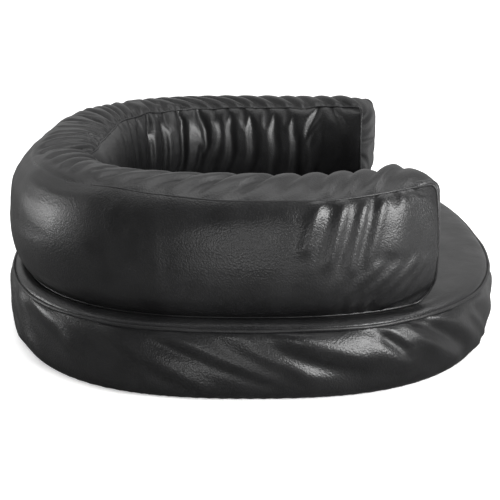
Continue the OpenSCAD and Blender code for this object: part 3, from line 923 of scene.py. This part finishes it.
def side_band():
    columns = 15
    along, level = mesh_grid(even_rim(RIM_ROWS), np.linspace(0, 1, columns))
    z = 1.3 + (BASE_H - 0.9 - 1.3) * level
    inset = np.interp(z / BASE_H, *BAND_INSET) + 1.5 * smooth((level - 0.94) / 0.06)
    seed = 0.5 * noise2(along, level * BASE_H, (40, 30), seed=52) * np.sin(math.pi * level)
    grid = simulate(with_z(rim_point(along, inset), z), wrap=True, sign=1,
                    gather=(1.004, 1.004), low=-1.0, high=1.2, press=0.03,
                    levels=[(12, 5, 0.35), (6, 5, 0.3)], seed=seed)
    # the folds it hangs in, pressed into the simulated band
    along, level = mesh_grid(even_rim(2 * RIM_ROWS), np.linspace(0, 1, 2 * columns - 1))
    placed = folds(along, level, BASE_H, BAND_FOLDS, gain=1.45, taper=0.35)
    rest = folds(along, level, BASE_H, random_band_folds(), gain=1.4, taper=0.35)
    near = smooth((along - 770) / 60) * smooth((1430 - along) / 60)
    quiet = 1 - 0.6 * bell(along, RIM / 2 + 350, 130) - 0.4 * bell(along, RIM / 2 - 330, 110)
    depth = ((placed + rest * (1 - near) * quiet) * smooth(level / 0.16)
             * smooth((1 - level) / 0.05))
    depth -= 1.6 * bell(along, 800, 120) * np.sin(math.pi * level)
    return grid + depth[..., None] * normals(grid, True, 1)


def seat_height(inset):
    return BASE_H + SEAT_RISE * np.interp(inset, *SEAT_PROFILE)


def foot_dip(xy):
    """How far the bolster's outer foot presses the base cushion down."""
    x, y = xy[..., 0], xy[..., 1]
    half_x, half_y, power = OUTER_OVAL
    reach = (np.abs(x / half_x) ** power + np.abs(y / half_y) ** power) ** (1 / power)
    gap = (reach - 1) / np.maximum(reach, 0.05) * np.hypot(x, y)
    angle = np.mod(np.degrees(np.arctan2(y, x)) + 90, 360) - 90
    under = (smooth((angle - math.degrees(START_ANGLE) + 5) / 8)
             * smooth((math.degrees(END_ANGLE) + 5 - angle) / 8))
    return 4.0 * under * np.where(gap > 0, smooth(1 - gap / 9), smooth(1 + gap / 55))


def seat_grid():
    """The seat's top face: rows round the rim, columns inwards."""
    insets = np.concatenate([[1.6], np.arange(4.5, 60, 4.0), np.arange(62, 130, 7.0),
                             np.arange(132, BASE_OVAL[1] - 6, 11.0), [BASE_OVAL[1] - 3]])
    along, inset = mesh_grid(even_rim(RIM_ROWS), insets)
    xy = rim_point(along, inset)
    # slow hollows, the dip under the foot and puckers at the seam
    z = (seat_height(inset)
         + 0.9 * noise2(xy[..., 0], xy[..., 1], (120, 95), seed=61) * smooth((inset - 4) / 40)
         - 0.6 * smooth((inset - 60) / 100))
    z = z - foot_dip(xy)
    pucker = pleats(along, inset * 0, pitch=30, spread=0.5, seed=62)
    z = z + 0.05 * pucker * smooth((inset - 2) / 4) * (1 - smooth((inset - 8) / 22))
    plain = with_z(xy, z)
    free = edge_free(*plain.shape[:2], True)
    free[:, 22:] = 0
    grid = simulate(plain, wrap=True, sign=1, gather=(1.0, 1.001), low=-1.5, high=1.6,
                    press=0.03, levels=[(12, 5, 0.3)], free=free)
    shift = grid - plain
    for _ in range(7):
        shift = 0.5 * shift + 0.25 * (np.roll(shift, 1, 0) + np.roll(shift, -1, 0))
    return plain + shift


def seat_panel():
    """The seat panel: a ring grid closed in its middle, with fabric thickness."""
    grid = seat_grid()
    rows, columns = grid.shape[:2]
    drop = np.array([0, 0, SKIN])
    middle = grid[:, -1].mean(0)
    points = np.concatenate([grid.reshape(-1, 3), (grid - drop).reshape(-1, 3),
                             middle[None], (middle - drop)[None]])
    count = rows * columns
    quads = grid_quads(rows, columns, wrap=True)
    faces = quads.tolist() + (quads[:, ::-1] + count).tolist()
    end = columns - 1
    for i in range(rows):
        here, after = i * columns, (i + 1) % rows * columns
        faces.append([here + end, after + end, 2 * count])
        faces.append([after + end + count, here + end + count, 2 * count + 1])
        faces.append([after, here, here + count, after + count])
    return solid("seat_panel_padded", points, faces)


# ------------------------------------------------------------------ materials
class Graph:
    """A node tree under construction. An input takes a value or another node's output.

    Underscores in an input's name stand for spaces; names that are no input set a property.
    """

    def __init__(self, owner):
        owner.use_nodes = True
        self.tree = owner.node_tree
        self.tree.nodes.clear()

    def feed(self, socket, value):
        if isinstance(value, bpy.types.NodeSocket):
            self.tree.links.new(value, socket)
        else:
            socket.default_value = value

    def add(self, kind, **settings):
        node = self.tree.nodes.new("ShaderNode" + kind)
        for key, value in settings.items():
            label = key.replace("_", " ")
            if label in node.inputs:
                self.feed(node.inputs[label], value)
            else:
                setattr(node, key, value)
        return node

    def out(self, kind, output=0, **settings):
        return self.add(kind, **settings).outputs[output]

    def math(self, kind, operation, *values):
        node = self.add(kind, operation=operation)
        for i, value in enumerate(values):
            self.feed(node.inputs[i], value)
        return node.outputs[0]

    def mix(self, factor, first, second, blend="MIX"):
        """Colour mix; its colour sockets are inputs 6 and 7 and output 2."""
        node = self.add("Mix", data_type="RGBA", blend_type=blend)
        for i, value in ((0, factor), (6, first), (7, second)):
            self.feed(node.inputs[i], value)
        return node.outputs[2]

    def ramp(self, factor, *stops):
        """Colour ramp through stops of (position, colour)."""
        node = self.add("ValToRGB", Fac=factor)
        elements = node.color_ramp.elements
        while len(elements) > 1:
            elements.remove(elements[-1])
        elements[0].position = stops[0][0]
        elements[0].color = (*stops[0][1], 1)
        for position, colour in stops[1:]:
            elements.new(position).color = (*colour, 1)
        return node.outputs["Color"]

    def remap(self, value, span, to):
        return self.out("MapRange", "Result", Value=value, From_Min=span[0], From_Max=span[1],
                        To_Min=to[0], To_Max=to[1])

    def bump(self, height, normal=None, **settings):
        if normal is not None:
            settings["Normal"] = normal
        return self.out("Bump", Height=height, **settings)


def grey(value):
    return (value, value, value)


def surface(name):
    """A new material, its graph and the object coordinates."""
    material = bpy.data.materials.new(name)
    graph = Graph(material)
    return material, graph, graph.out("TexCoord", "Object")


def shade(graph, **settings):
    shader = graph.out("BsdfPrincipled", **settings)
    graph.add("OutputMaterial", Surface=shader)


def leather(name, dark, light, rough, grain=1.7, depth=0.05, pebble=0.19, crease=0.016,
            painted_shade_heights=None):
    """Coated faux leather: pebble grain, pores, slack creases, uneven sheen, worn raised edges.

    grain is the pebble size and depth, pebble and crease are bump heights, in mm. The last
    argument is a pair of heights in metres: the reflection is weakest below the first and full
    above the second; this is painted shade for the foot of a surface that another part shades.
    """
    material, graph, coords = surface(name)
    # the grain's cells are pulled a little out of round by a slower noise
    warp = graph.out("TexNoise", "Color", Vector=coords, Scale=220.0, Detail=2.0)
    warped = graph.math("VectorMath", "MULTIPLY_ADD", warp, grey(0.0009), coords)
    pebbles = graph.out("TexVoronoi", "Distance", feature="SMOOTH_F1", Vector=warped,
                        Scale=1000.0 / grain, Smoothness=0.45)
    groups = graph.out("TexVoronoi", "Distance", feature="DISTANCE_TO_EDGE", Vector=warped,
                       Scale=1000.0 / (grain * 2.3))
    pores = graph.out("TexNoise", Vector=coords, Scale=2600.0, Detail=2.0)
    slack = graph.out("TexNoise", Vector=coords, Scale=95.0, Detail=2.0, Roughness=0.5)
    mottle = graph.out("TexNoise", Vector=coords, Scale=26.0, Detail=5.0, Roughness=0.6)
    raised = graph.out("NewGeometry", "Pointiness")
    # slack first, then creases between groups of cells, then the pebbles and the pores
    normal = graph.bump(slack, Strength=1.0, Distance=crease * 0.001 * 4)
    normal = graph.bump(graph.remap(groups, span=(0.0, 0.12), to=(0.0, 1.0)), normal,
                        Strength=0.7, Distance=depth * 0.001)
    normal = graph.bump(pebbles, normal, Strength=1.0, Distance=pebble * 0.001, invert=True)
    normal = graph.bump(pores, normal, Strength=0.5, Distance=0.00002)
    # two near-blacks mottled, greyer where edges rub, darker in the grain's valleys
    red, green, blue = light
    colour = graph.mix(graph.remap(raised, span=(0.52, 0.60), to=(0.0, 0.5)),
                       graph.ramp(mottle, (0.32, dark), (0.70, light)),
                       (red * 2.2, green * 2.2, blue * 2.25, 1))
    valleys = graph.ramp(pebbles, (0.25, grey(1)), (0.75, grey(0.55)))
    # patches of wear, shinier on raised folds
    patches = graph.remap(mottle, span=(0.3, 0.7), to=(rough - 0.05, rough + 0.07))
    shine = graph.remap(raised, span=(0.45, 0.58), to=(0.05, -0.05))
    settings = {}
    # painted shade: the reflection fades towards the bottom, darkening the surface low down as if
    # in shade
    if painted_shade_heights:
        height = graph.out("SeparateXYZ", "Z", Vector=coords)
        settings["Specular_IOR_Level"] = graph.remap(height, span=painted_shade_heights, to=(0.12, 0.5))
    shade(graph, Normal=normal, IOR=1.5, Roughness=graph.math("Math", "ADD", patches, shine),
          Base_Color=graph.mix(0.5, colour, valleys, "MULTIPLY"), **settings)
    return material


def woven(name, dark, light, thread, rough, dots=False):
    """A plain weave from two crossed waves, with slubs, a soft sheen and maybe raised dots."""
    material, graph, coords = surface(name)
    waves = [graph.out("TexWave", "Fac", bands_direction=axis, Vector=coords,
                       Scale=1000.0 / thread / 3.2, Distortion=0.6, Detail_Scale=2.0)
             for axis in ("X", "Y")]
    weave = graph.math("Math", "MAXIMUM", *waves)
    slubs = graph.out("TexNoise", Vector=coords, Scale=60.0, Detail=4.0)
    normal = graph.bump(weave, Strength=0.8, Distance=0.00015)
    colour = graph.ramp(slubs, (0.3, dark), (0.7, light))
    if dots:
        lattice = graph.out("TexVoronoi", "Distance", Vector=coords, Scale=150.0, Randomness=0.0)
        dot = graph.remap(lattice, span=(0.24, 0.30), to=(1.0, 0.0))
        normal = graph.bump(dot, normal, Strength=1.0, Distance=0.0004)
        # the roughness input keeps its own value under the link
        rough = graph.remap(dot, span=(0, 1), to=(rough, 0.45))
    threads = graph.ramp(weave, (0.0, grey(0.35)), (1.0, grey(1)))
    shade(graph, Roughness=rough, Normal=normal, Sheen_Weight=0.25,
          Base_Color=graph.mix(0.6, colour, threads, "MULTIPLY"))
    return material


def fibrous(name, dark, light, cell_size, depth):
    """Foam or wadding: open cells or fibres of the given size and depth in mm, mottled."""
    material, graph, coords = surface(name)
    cells = graph.out("TexVoronoi", "Distance", Vector=coords, Scale=1000.0 / cell_size)
    mottle = graph.out("TexNoise", Vector=coords, Scale=35.0, Detail=6.0)
    normal = graph.bump(cells, Strength=1.0, Distance=depth * 0.001)
    shade(graph, Roughness=0.95, Subsurface_Weight=0.05,
          Normal=graph.bump(mottle, normal, Strength=0.6, Distance=0.002),
          Base_Color=graph.ramp(mottle, (0.3, dark), (0.7, light)))
    return material


def metal(name, tone, rough, metallic=1.0, scale=900.0):
    """Lacquer over a cast skin, with rubbed edges."""
    material, graph, coords = surface(name)
    skin = graph.out("TexNoise", Vector=coords, Scale=scale, Detail=6.0)
    raised = graph.out("NewGeometry", "Pointiness")
    lacquer = graph.ramp(skin, (0.3, tuple(part * 0.7 for part in tone)), (0.7, tone))
    rubbed = graph.remap(raised, span=(0.51, 0.58), to=(0.0, 1.0))
    shade(graph, Metallic=metallic, Base_Color=graph.mix(rubbed, lacquer, (0.42, 0.42, 0.43, 1)),
          Roughness=graph.remap(skin, span=(0.3, 0.7), to=(rough - 0.06, rough + 0.1)),
          Normal=graph.bump(skin, Strength=0.4, Distance=0.00003))
    return material


COVER_LOOK = dict(dark=(0.0060, 0.0060, 0.0063), light=(0.0100, 0.0100, 0.0104), rough=0.335)
COVER = leather("cover_leather", **COVER_LOOK)
# the inner wall's leather with painted shade: its reflection fades out towards the wall's foot,
# where the near arm shades it
COVER_PAINTED_SHADE = leather("cover_leather_painted_shade", **COVER_LOOK, painted_shade_heights=(0.098, 0.150))
PIPING = leather("piping_leather", dark=(0.0070, 0.0070, 0.0074), light=(0.0115, 0.0115, 0.0120),
                 rough=0.36, grain=1.1, depth=0.03, pebble=0.1, crease=0.03)
UNDER = woven("underside_weave", dark=(0.012, 0.012, 0.013), light=(0.022, 0.022, 0.023),
              thread=0.6, rough=0.8, dots=True)
TAPE = woven("zip_tape_weave", dark=(0.010, 0.010, 0.011), light=(0.018, 0.018, 0.019),
             thread=0.35, rough=0.85)
FOAM = fibrous("foam_cells", dark=(0.62, 0.53, 0.30), light=(0.80, 0.74, 0.50),
               cell_size=1.1, depth=0.25)
WADDING = fibrous("wadding_fibre", dark=(0.66, 0.66, 0.64), light=(0.84, 0.84, 0.82),
                  cell_size=2.2, depth=0.5)
TEETH = metal("zip_teeth_nylon", tone=(0.02, 0.02, 0.021), rough=0.42, metallic=0.0, scale=400.0)
ZINC = metal("zip_metal_lacquer", tone=(0.085, 0.085, 0.09), rough=0.34)


def set_material(ob, material):
    ob.data.materials.clear()
    ob.data.materials.append(material)


def finish_piece(ob, material, part):
    set_material(ob, material)
    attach(ob, "bed")
    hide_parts(part)


# ------------------------------------------------------------------ build the covers
for name, build, wrap, sign, material, part in (
        ("gathered_top_strip", gathered_strip, False, -1, COVER, "bolster_top_gusset"),
        ("bolster_outer_wall", outer_wall, False, 1, COVER, "bolster_outer_panel"),
        ("bolster_inner_wall", inner_wall, False, -1, COVER_PAINTED_SHADE, "bolster_inner_panel"),
        ("base_band_draped", side_band, True, 1, COVER, "base_side_band")):
    finish_piece(sheet(name, build(), SKIN, wrap, sign), material, part)
finish_piece(seat_panel(), COVER, "base_top_panel")


# ------------------------------------------------------------------ piping and cords
def rim_piping():
    along = even_rim(700)
    xy = rim_point(along, 0.2 + 0.35 * loop_noise1(along, RIM, 45, seed=71))
    z = (BASE_H + PIPING_LIFT + 0.45 * loop_noise1(along, RIM, 55, seed=72)
         + 0.2 * loop_noise1(along, RIM, 18, seed=73))
    up = np.tile([0, 0, 1.0], (len(along), 1))
    return tube("base_rim_piping", with_z(xy, z), up, PIPING_R, sides=12, seed=74)


def wall_cord(name, side, seed):
    rows = even_loop(seam_loop(side), 3, step=2.6)
    across = rows[:, 3:6] / np.linalg.norm(rows[:, 3:6], axis=1, keepdims=True)
    return tube(name, blur_loop(rows[:, :3], 0.8), across, blur_loop(rows[:, 6], 2), sides=10,
                seed=seed)


finish_piece(rim_piping(), PIPING, "base_top_piping")
finish_piece(wall_cord("bolster_outer_cord", 1, seed=81), PIPING,
             "bolster_outer_piping")
finish_piece(wall_cord("bolster_inner_cord", -1, seed=91), PIPING,
             "bolster_inner_piping")


# ------------------------------------------------------------------ underside with its zip slot
def window_knots(half_x, half_y):
    """Lengths round a window from the middle of its +X end, at its start, corners and end."""
    return np.array([0, half_y, half_y + 2 * half_x, 3 * half_y + 2 * half_x,
                     3 * half_y + 4 * half_x, 4 * half_x + 4 * half_y])


def window(lengths, half_x, half_y):
    """Points round a rectangular window over the zip."""
    knots = window_knots(half_x, half_y)
    x = np.interp(lengths, knots, np.array([1, 1, -1, -1, 1, 1]) * half_x)
    y = np.interp(lengths, knots, np.array([0, 1, 1, -1, -1, 0]) * half_y)
    return np.stack([x, y + ZIP_Y], -1)


def between(outer, inner, shares):
    share = shares[None, :, None]
    return outer[:, None, :] * (1 - share) + inner[:, None, :] * share


def ring_shell(name, below, above):
    """A solid between two ring grids."""
    points = np.concatenate([below.reshape(-1, 3), above.reshape(-1, 3)])
    return solid(name, points, layer_faces(*below.shape[:2], True))


def underside():
    half_x, half_y, inset, columns, thickness = ZIP_HALF + 1.0, 7.0, 6.4, 44, 1.1
    knots = window_knots(half_x, half_y)
    lengths = np.concatenate([np.linspace(start, end, count, endpoint=False) for start, end, count
                              in zip(knots[:-1], knots[1:], (5, 350, 10, 350, 5))])
    # each end of the slot looks at the rim straight beside it
    rim = even_rim(4000)
    edge = rim_point(rim, inset)
    right, left = (rim[np.argmin(np.abs(edge[:, 1] - ZIP_Y) + 1e4 * (end * edge[:, 0] < 0))]
                   for end in (1, -1))
    along = np.interp(lengths, knots, [right, right + 14, left - 14, left + 14,
                                       RIM + right - 14, RIM + right])
    slot = window(lengths, half_x, half_y)
    shares = np.linspace(0, 1, columns) ** 0.8
    xy = between(rim_point(along, inset), slot, shares)
    along, _ = mesh_grid(along, shares)
    pucker = pleats(along, along * 0, pitch=15, spread=0.4, seed=102)
    z = (0.25 + 0.25 * noise2(xy[..., 0], xy[..., 1], (60, 60), seed=101)
         + 0.6 * (1 - smooth(shares / 0.10))[None, :] * (0.5 + 0.5 * pucker))
    z = np.maximum(z, 0.02)
    z[:, -1] = 0.3
    # the lip turns up round the slot
    lips = np.stack([with_z(xy[:, -1], height) for height in (1.6, 3.4, 5.6)], 1)
    below = np.concatenate([with_z(xy, z), lips], 1)
    above = below.copy()
    above[:, :columns, 2] += thickness
    # the lip's far side stands a fabric's thickness away from the slot
    x, y = slot[:, 0], slot[:, 1] - ZIP_Y
    away = np.stack([np.sign(x) * (np.abs(x) > half_x - 0.01),
                     np.sign(y) * (np.abs(y) > half_y - 0.01)], -1)
    above[:, columns - 1:, :2] += away[:, None, :] * thickness
    return ring_shell("underside_fabric", below, above)


finish_piece(underside(), UNDER, "base_bottom_panel")


# ------------------------------------------------------------------ filling, inside the covers
def section(half, inset, along):
    """Rounded section of the bolster's filling as (width, z), anticlockwise, in the cover."""
    at = np.array([along])
    seams = {side: [float(shift[0]) for shift in seam_wander(side, at)] for side in (1, -1)}
    rise = (TOP_RISE - 1.0) * cover_rise(at)[0]

    def wall(side, level):
        seam_out, seam_up = seams[side]
        top = smooth((level - 0.45) / 0.55)
        return (side * (wall_half(side, half, level) + seam_out * top),
                FOOT_Z + level * BOLSTER_H + seam_up * top)

    def crown(across):
        side = 1 if across > 0 else -1
        seam_out, seam_up = seams[side]
        return (across * (wall_half(side, half, 1) + seam_out),
                FOOT_Z + BOLSTER_H + rise * (1 - abs(across) ** 2.4)
                + seam_up * smooth(abs(across)))

    points = [wall(1, level) for level in np.linspace(0.03, 0.96, 12)]
    points += [crown(across) for across in np.linspace(0.92, -0.92, 11)]
    points += [wall(-1, level) for level in np.linspace(0.96, 0.03, 12)]
    points += [(across * half, FOOT_Z) for across in np.linspace(-0.9, 0.9, 9)]
    points = even_loop(np.array(points), 2, count=56)
    for _ in range(3):
        points = (np.roll(points, 1, 0) + 2 * points + np.roll(points, -1, 0)) / 4
    travel = np.roll(points, -1, 0) - np.roll(points, 1, 0)
    outward = np.stack([travel[:, 1], -travel[:, 0]], -1)
    outward /= np.linalg.norm(outward, axis=1, keepdims=True)
    return points - outward * inset


def bolster_rings(inset, gap, rough=0.0, seed=0):
    """Rings of the filling, starting and ending gap mm inside the path's ends."""
    along = np.linspace(gap, PATH - gap, int(PATH / 9.0))
    rings = []
    for at, middle, outward, half, _, lift in zip(along, *path(along)):
        end = min(at - gap, PATH - gap - at)
        pull = 7.0 * (1 - math.sqrt(1 - (1 - min(1, end / 16)) ** 2)) + 0.001
        outline = section(half, inset + pull, at)
        ring = with_z(middle + outline[:, :1] * outward,
                      FOOT_Z + (outline[:, 1] - FOOT_Z) * lift)
        if rough:
            count = len(ring)
            lump = rough * noise2(np.full(count, at), np.arange(count) * 8.0, (22, 30), seed)
            spoke = ring - ring.mean(0)
            ring = ring + spoke / np.linalg.norm(spoke, axis=1, keepdims=True) * lump[:, None]
        rings.append(ring)
    return np.array(rings)


def wadding_wrap():
    """The bolster's wadding: a wrap round the foam, open along a butt joint underneath."""
    rings = []
    for outer, inner in zip(bolster_rings(6.0, 3.0, rough=0.5, seed=112),
                            bolster_rings(11.5, 3.0)):
        size = len(outer)
        lowest = np.argmin(outer[:, 2] + 0.001 * np.abs(np.arange(size) - size * 0.9))
        rings.append(np.concatenate([np.roll(outer, -lowest, 0),
                                     np.roll(inner, -lowest, 0)[::-1]]))
    rings = np.array(rings)
    count, size = rings.shape[:2]
    faces = ring_quads(count, size)
    last = (count - 1) * size
    for j in range(size // 2 - 1):
        faces.append([j + 1, j, size - 1 - j, size - 2 - j])
        faces.append([last + j, last + j + 1, last + size - 2 - j, last + size - 1 - j])
    return solid("bolster_wadding_wrap", rings.reshape(-1, 3), faces)


def slab(name, rows, rough, seed):
    """A flat filling piece in the base's outline.

    rows are (inset, z) from the bottom middle round the edge to the top middle.
    """
    rings = []
    for inset, z in rows:
        xy = rim_point(even_rim(260), inset)
        lumps = rough * noise2(xy[:, 0], xy[:, 1], (25, 25), seed)
        # only the rows near the seat dip under the bolster's foot
        rings.append(with_z(xy, z - foot_dip(xy) * (z > 55) + lumps))
    return loft(name, rings)


def under_seat(insets, depth):
    return [(inset, seat_height(inset) - depth) for inset in insets]


TOP_INSETS = (12, 18, 26, 40, 80, 140, 200, 250)
FOAM_EDGE = [  # inset, z
    (250, 12.5), (120, 12.5), (40, 12.5), (14, 12.6), (9, 14), (6.5, 18), (5.5, 26),
    (5.3, 36), (6.2, 46), (8, 51),
]


def bottom_fibre():
    """Wadding over the underside, in one piece with a window that clears the zip."""
    count, half_x, half_y = 360, ZIP_HALF + 11, 18.0
    lengths = np.arange(count) * (4 * half_x + 4 * half_y) / count
    xy = between(rim_point(even_rim(count), 14.0), window(lengths, half_x, half_y),
                 np.linspace(0, 1, 16))
    top = 9.0 + 0.5 * noise2(xy[..., 0], xy[..., 1], (25, 25), seed=123)
    return ring_shell("base_bottom_fibre", with_z(xy, 2.0), with_z(xy, top))


def foot_strip():
    """The strip that closes the bolster's cover along its foot."""
    along = np.linspace(4, PATH - 4, 240)
    middle, outward, half, _, _ = path(along)
    width = np.linspace(-1, 1, 12)[None, :] * (half - 5)[:, None]
    xy = middle[:, None, :] + width[..., None] * outward[:, None, :]
    along = np.broadcast_to(along[:, None], width.shape)
    z = FOOT_Z + 0.95 + 0.12 * noise2(along, width, (12, 14), seed=131)
    return sheet("bolster_foot_strip", with_z(xy, z), FOOT_SKIN, False, -1)


finish_piece(loft("bolster_foam_body", bolster_rings(12.5, 5.0, rough=0.3, seed=111)),
             FOAM, "bolster_foam_core")
finish_piece(wadding_wrap(), WADDING, "bolster_wadding")
finish_piece(slab("base_foam_slab", FOAM_EDGE + under_seat(TOP_INSETS, 14.5),
                  rough=0.25, seed=121), FOAM, "base_foam_core")
finish_piece(slab("base_top_fibre", under_seat(TOP_INSETS[::-1], 13.5) + under_seat((10,), 9.0)
                  + under_seat(TOP_INSETS, 4.0), rough=0.3, seed=122),
             WADDING, "base_top_wadding")
finish_piece(bottom_fibre(), WADDING, "base_bottom_wadding")
finish_piece(foot_strip(), UNDER, "bolster_underside_strip")

# ------------------------------------------------------------------ the zip keeps its own meshes
for part, material in (("zip_tapes", TAPE), ("zip_chain", TEETH), ("zip_end_stops", ZINC),
                       ("zip_slider", ZINC), ("zip_pull_tab", ZINC)):
    set_material(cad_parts[part], material)

# ------------------------------------------------------------------ floor, light, camera
scene = bpy.context.scene
scene.view_settings.view_transform = "Standard"
scene.view_settings.look = "None"


def floor():
    count = 60
    line = np.linspace(-14000.0, 14000.0, count)
    points = [(x, y, -0.5) for x in line for y in line]
    ob = mesh_object("floor", points, grid_quads(count, count))
    material, graph, coords = surface("floor_pale")
    # pale to the camera; the glossy cover mirrors it dimmer, dimmest towards +Y
    rays = graph.add("LightPath").outputs
    y = graph.out("SeparateXYZ", "Y", Vector=coords)
    mirrored = graph.ramp(graph.remap(y, span=(-0.75, -0.25), to=(1.0, 0.0)),
                          (0.0, grey(0.10)), (1.0, grey(0.46)))
    # it glows a little to the camera, so that the contact shadow stays faint
    glow = graph.remap(rays["Is Camera Ray"], span=(0, 1), to=(0.0, 0.30))
    shade(graph, Roughness=0.9, Specular_IOR_Level=0.1,
          Base_Color=graph.mix(rays["Is Glossy Ray"], (0.95, 0.95, 0.95, 1), mirrored),
          Emission_Color=(1, 1, 1, 1), Emission_Strength=glow)
    ob.data.materials.append(material)


def studio():
    """White to the camera and floor; the cover mirrors a room that is dim on the -X side."""
    world = bpy.data.worlds.new("studio")
    scene.world = world
    graph = Graph(world)
    x = graph.out("SeparateXYZ", "X", Vector=graph.out("TexCoord", "Generated"))
    room = graph.out("Background", Strength=graph.remap(x, span=(-0.5, 0.9), to=(0.07, 0.60)))
    white = graph.out("Background", Strength=1.3)
    glossy = graph.out("LightPath", "Is Glossy Ray")
    mixed = graph.math_free_mix(glossy, white, room)
    graph.add("OutputWorld", Surface=mixed)


def mix_shaders(graph, factor, first, second):
    node = graph.add("MixShader")
    for i, value in enumerate((factor, first, second)):
        graph.feed(node.inputs[i], value)
    return node.outputs[0]


Graph.math_free_mix = mix_shaders


def aim(ob, direction):
    ob.rotation_euler = direction.to_track_quat("-Z", "Y").to_euler()


def area(name, place, target, size, power):
    light = bpy.data.lights.new(name, "AREA")
    light.shape = "RECTANGLE"
    light.size, light.size_y = size
    light.energy = power
    ob = bpy.data.objects.new(name, light)
    scene.collection.objects.link(ob)
    ob.location = place
    aim(ob, Vector(target) - Vector(place))


AREA_LIGHTS = (  # name, place, target, size (m), power (W)
    ("overhead", (0.1, 0.0, 1.9), (0, 0, 0.1), (1.5, 1.5), 12),
    ("top_front", (0.25, -1.15, 1.45), (-0.1, 0, 0.1), (0.8, 0.55), 5),
    ("top_back", (0.25, 1.2, 1.4), (-0.1, 0, 0.1), (0.8, 0.5), 1.5),
    ("side_front", (-1.32, -1.38, 0.70), (-0.25, 0, 0.1), (1.15, 0.85), 46),
    ("side_back", (0.35, 1.9, 0.34), (-0.2, 0, 0.1), (0.75, 0.65), 9),
    ("camera_fill", (-2.3, 0.10, 0.13), (-0.2, 0, 0.12), (0.6, 0.22), 4.4),
)
CAMERA_PLACE = (-1.393, 0.0013, 0.402)
CAMERA_PITCH = 0.25           # radians below the horizon


def camera():
    lens = bpy.data.cameras.new("camera")
    ob = bpy.data.objects.new("camera", lens)
    scene.collection.objects.link(ob)
    lens.sensor_fit = "HORIZONTAL"
    lens.sensor_width = 36.0
    lens.lens = 86.3
    ob.location = CAMERA_PLACE
    aim(ob, Vector((math.cos(CAMERA_PITCH), 0, -math.sin(CAMERA_PITCH))))
    scene.camera = ob


floor()
studio()
for row in AREA_LIGHTS:
    area(*row)
camera()
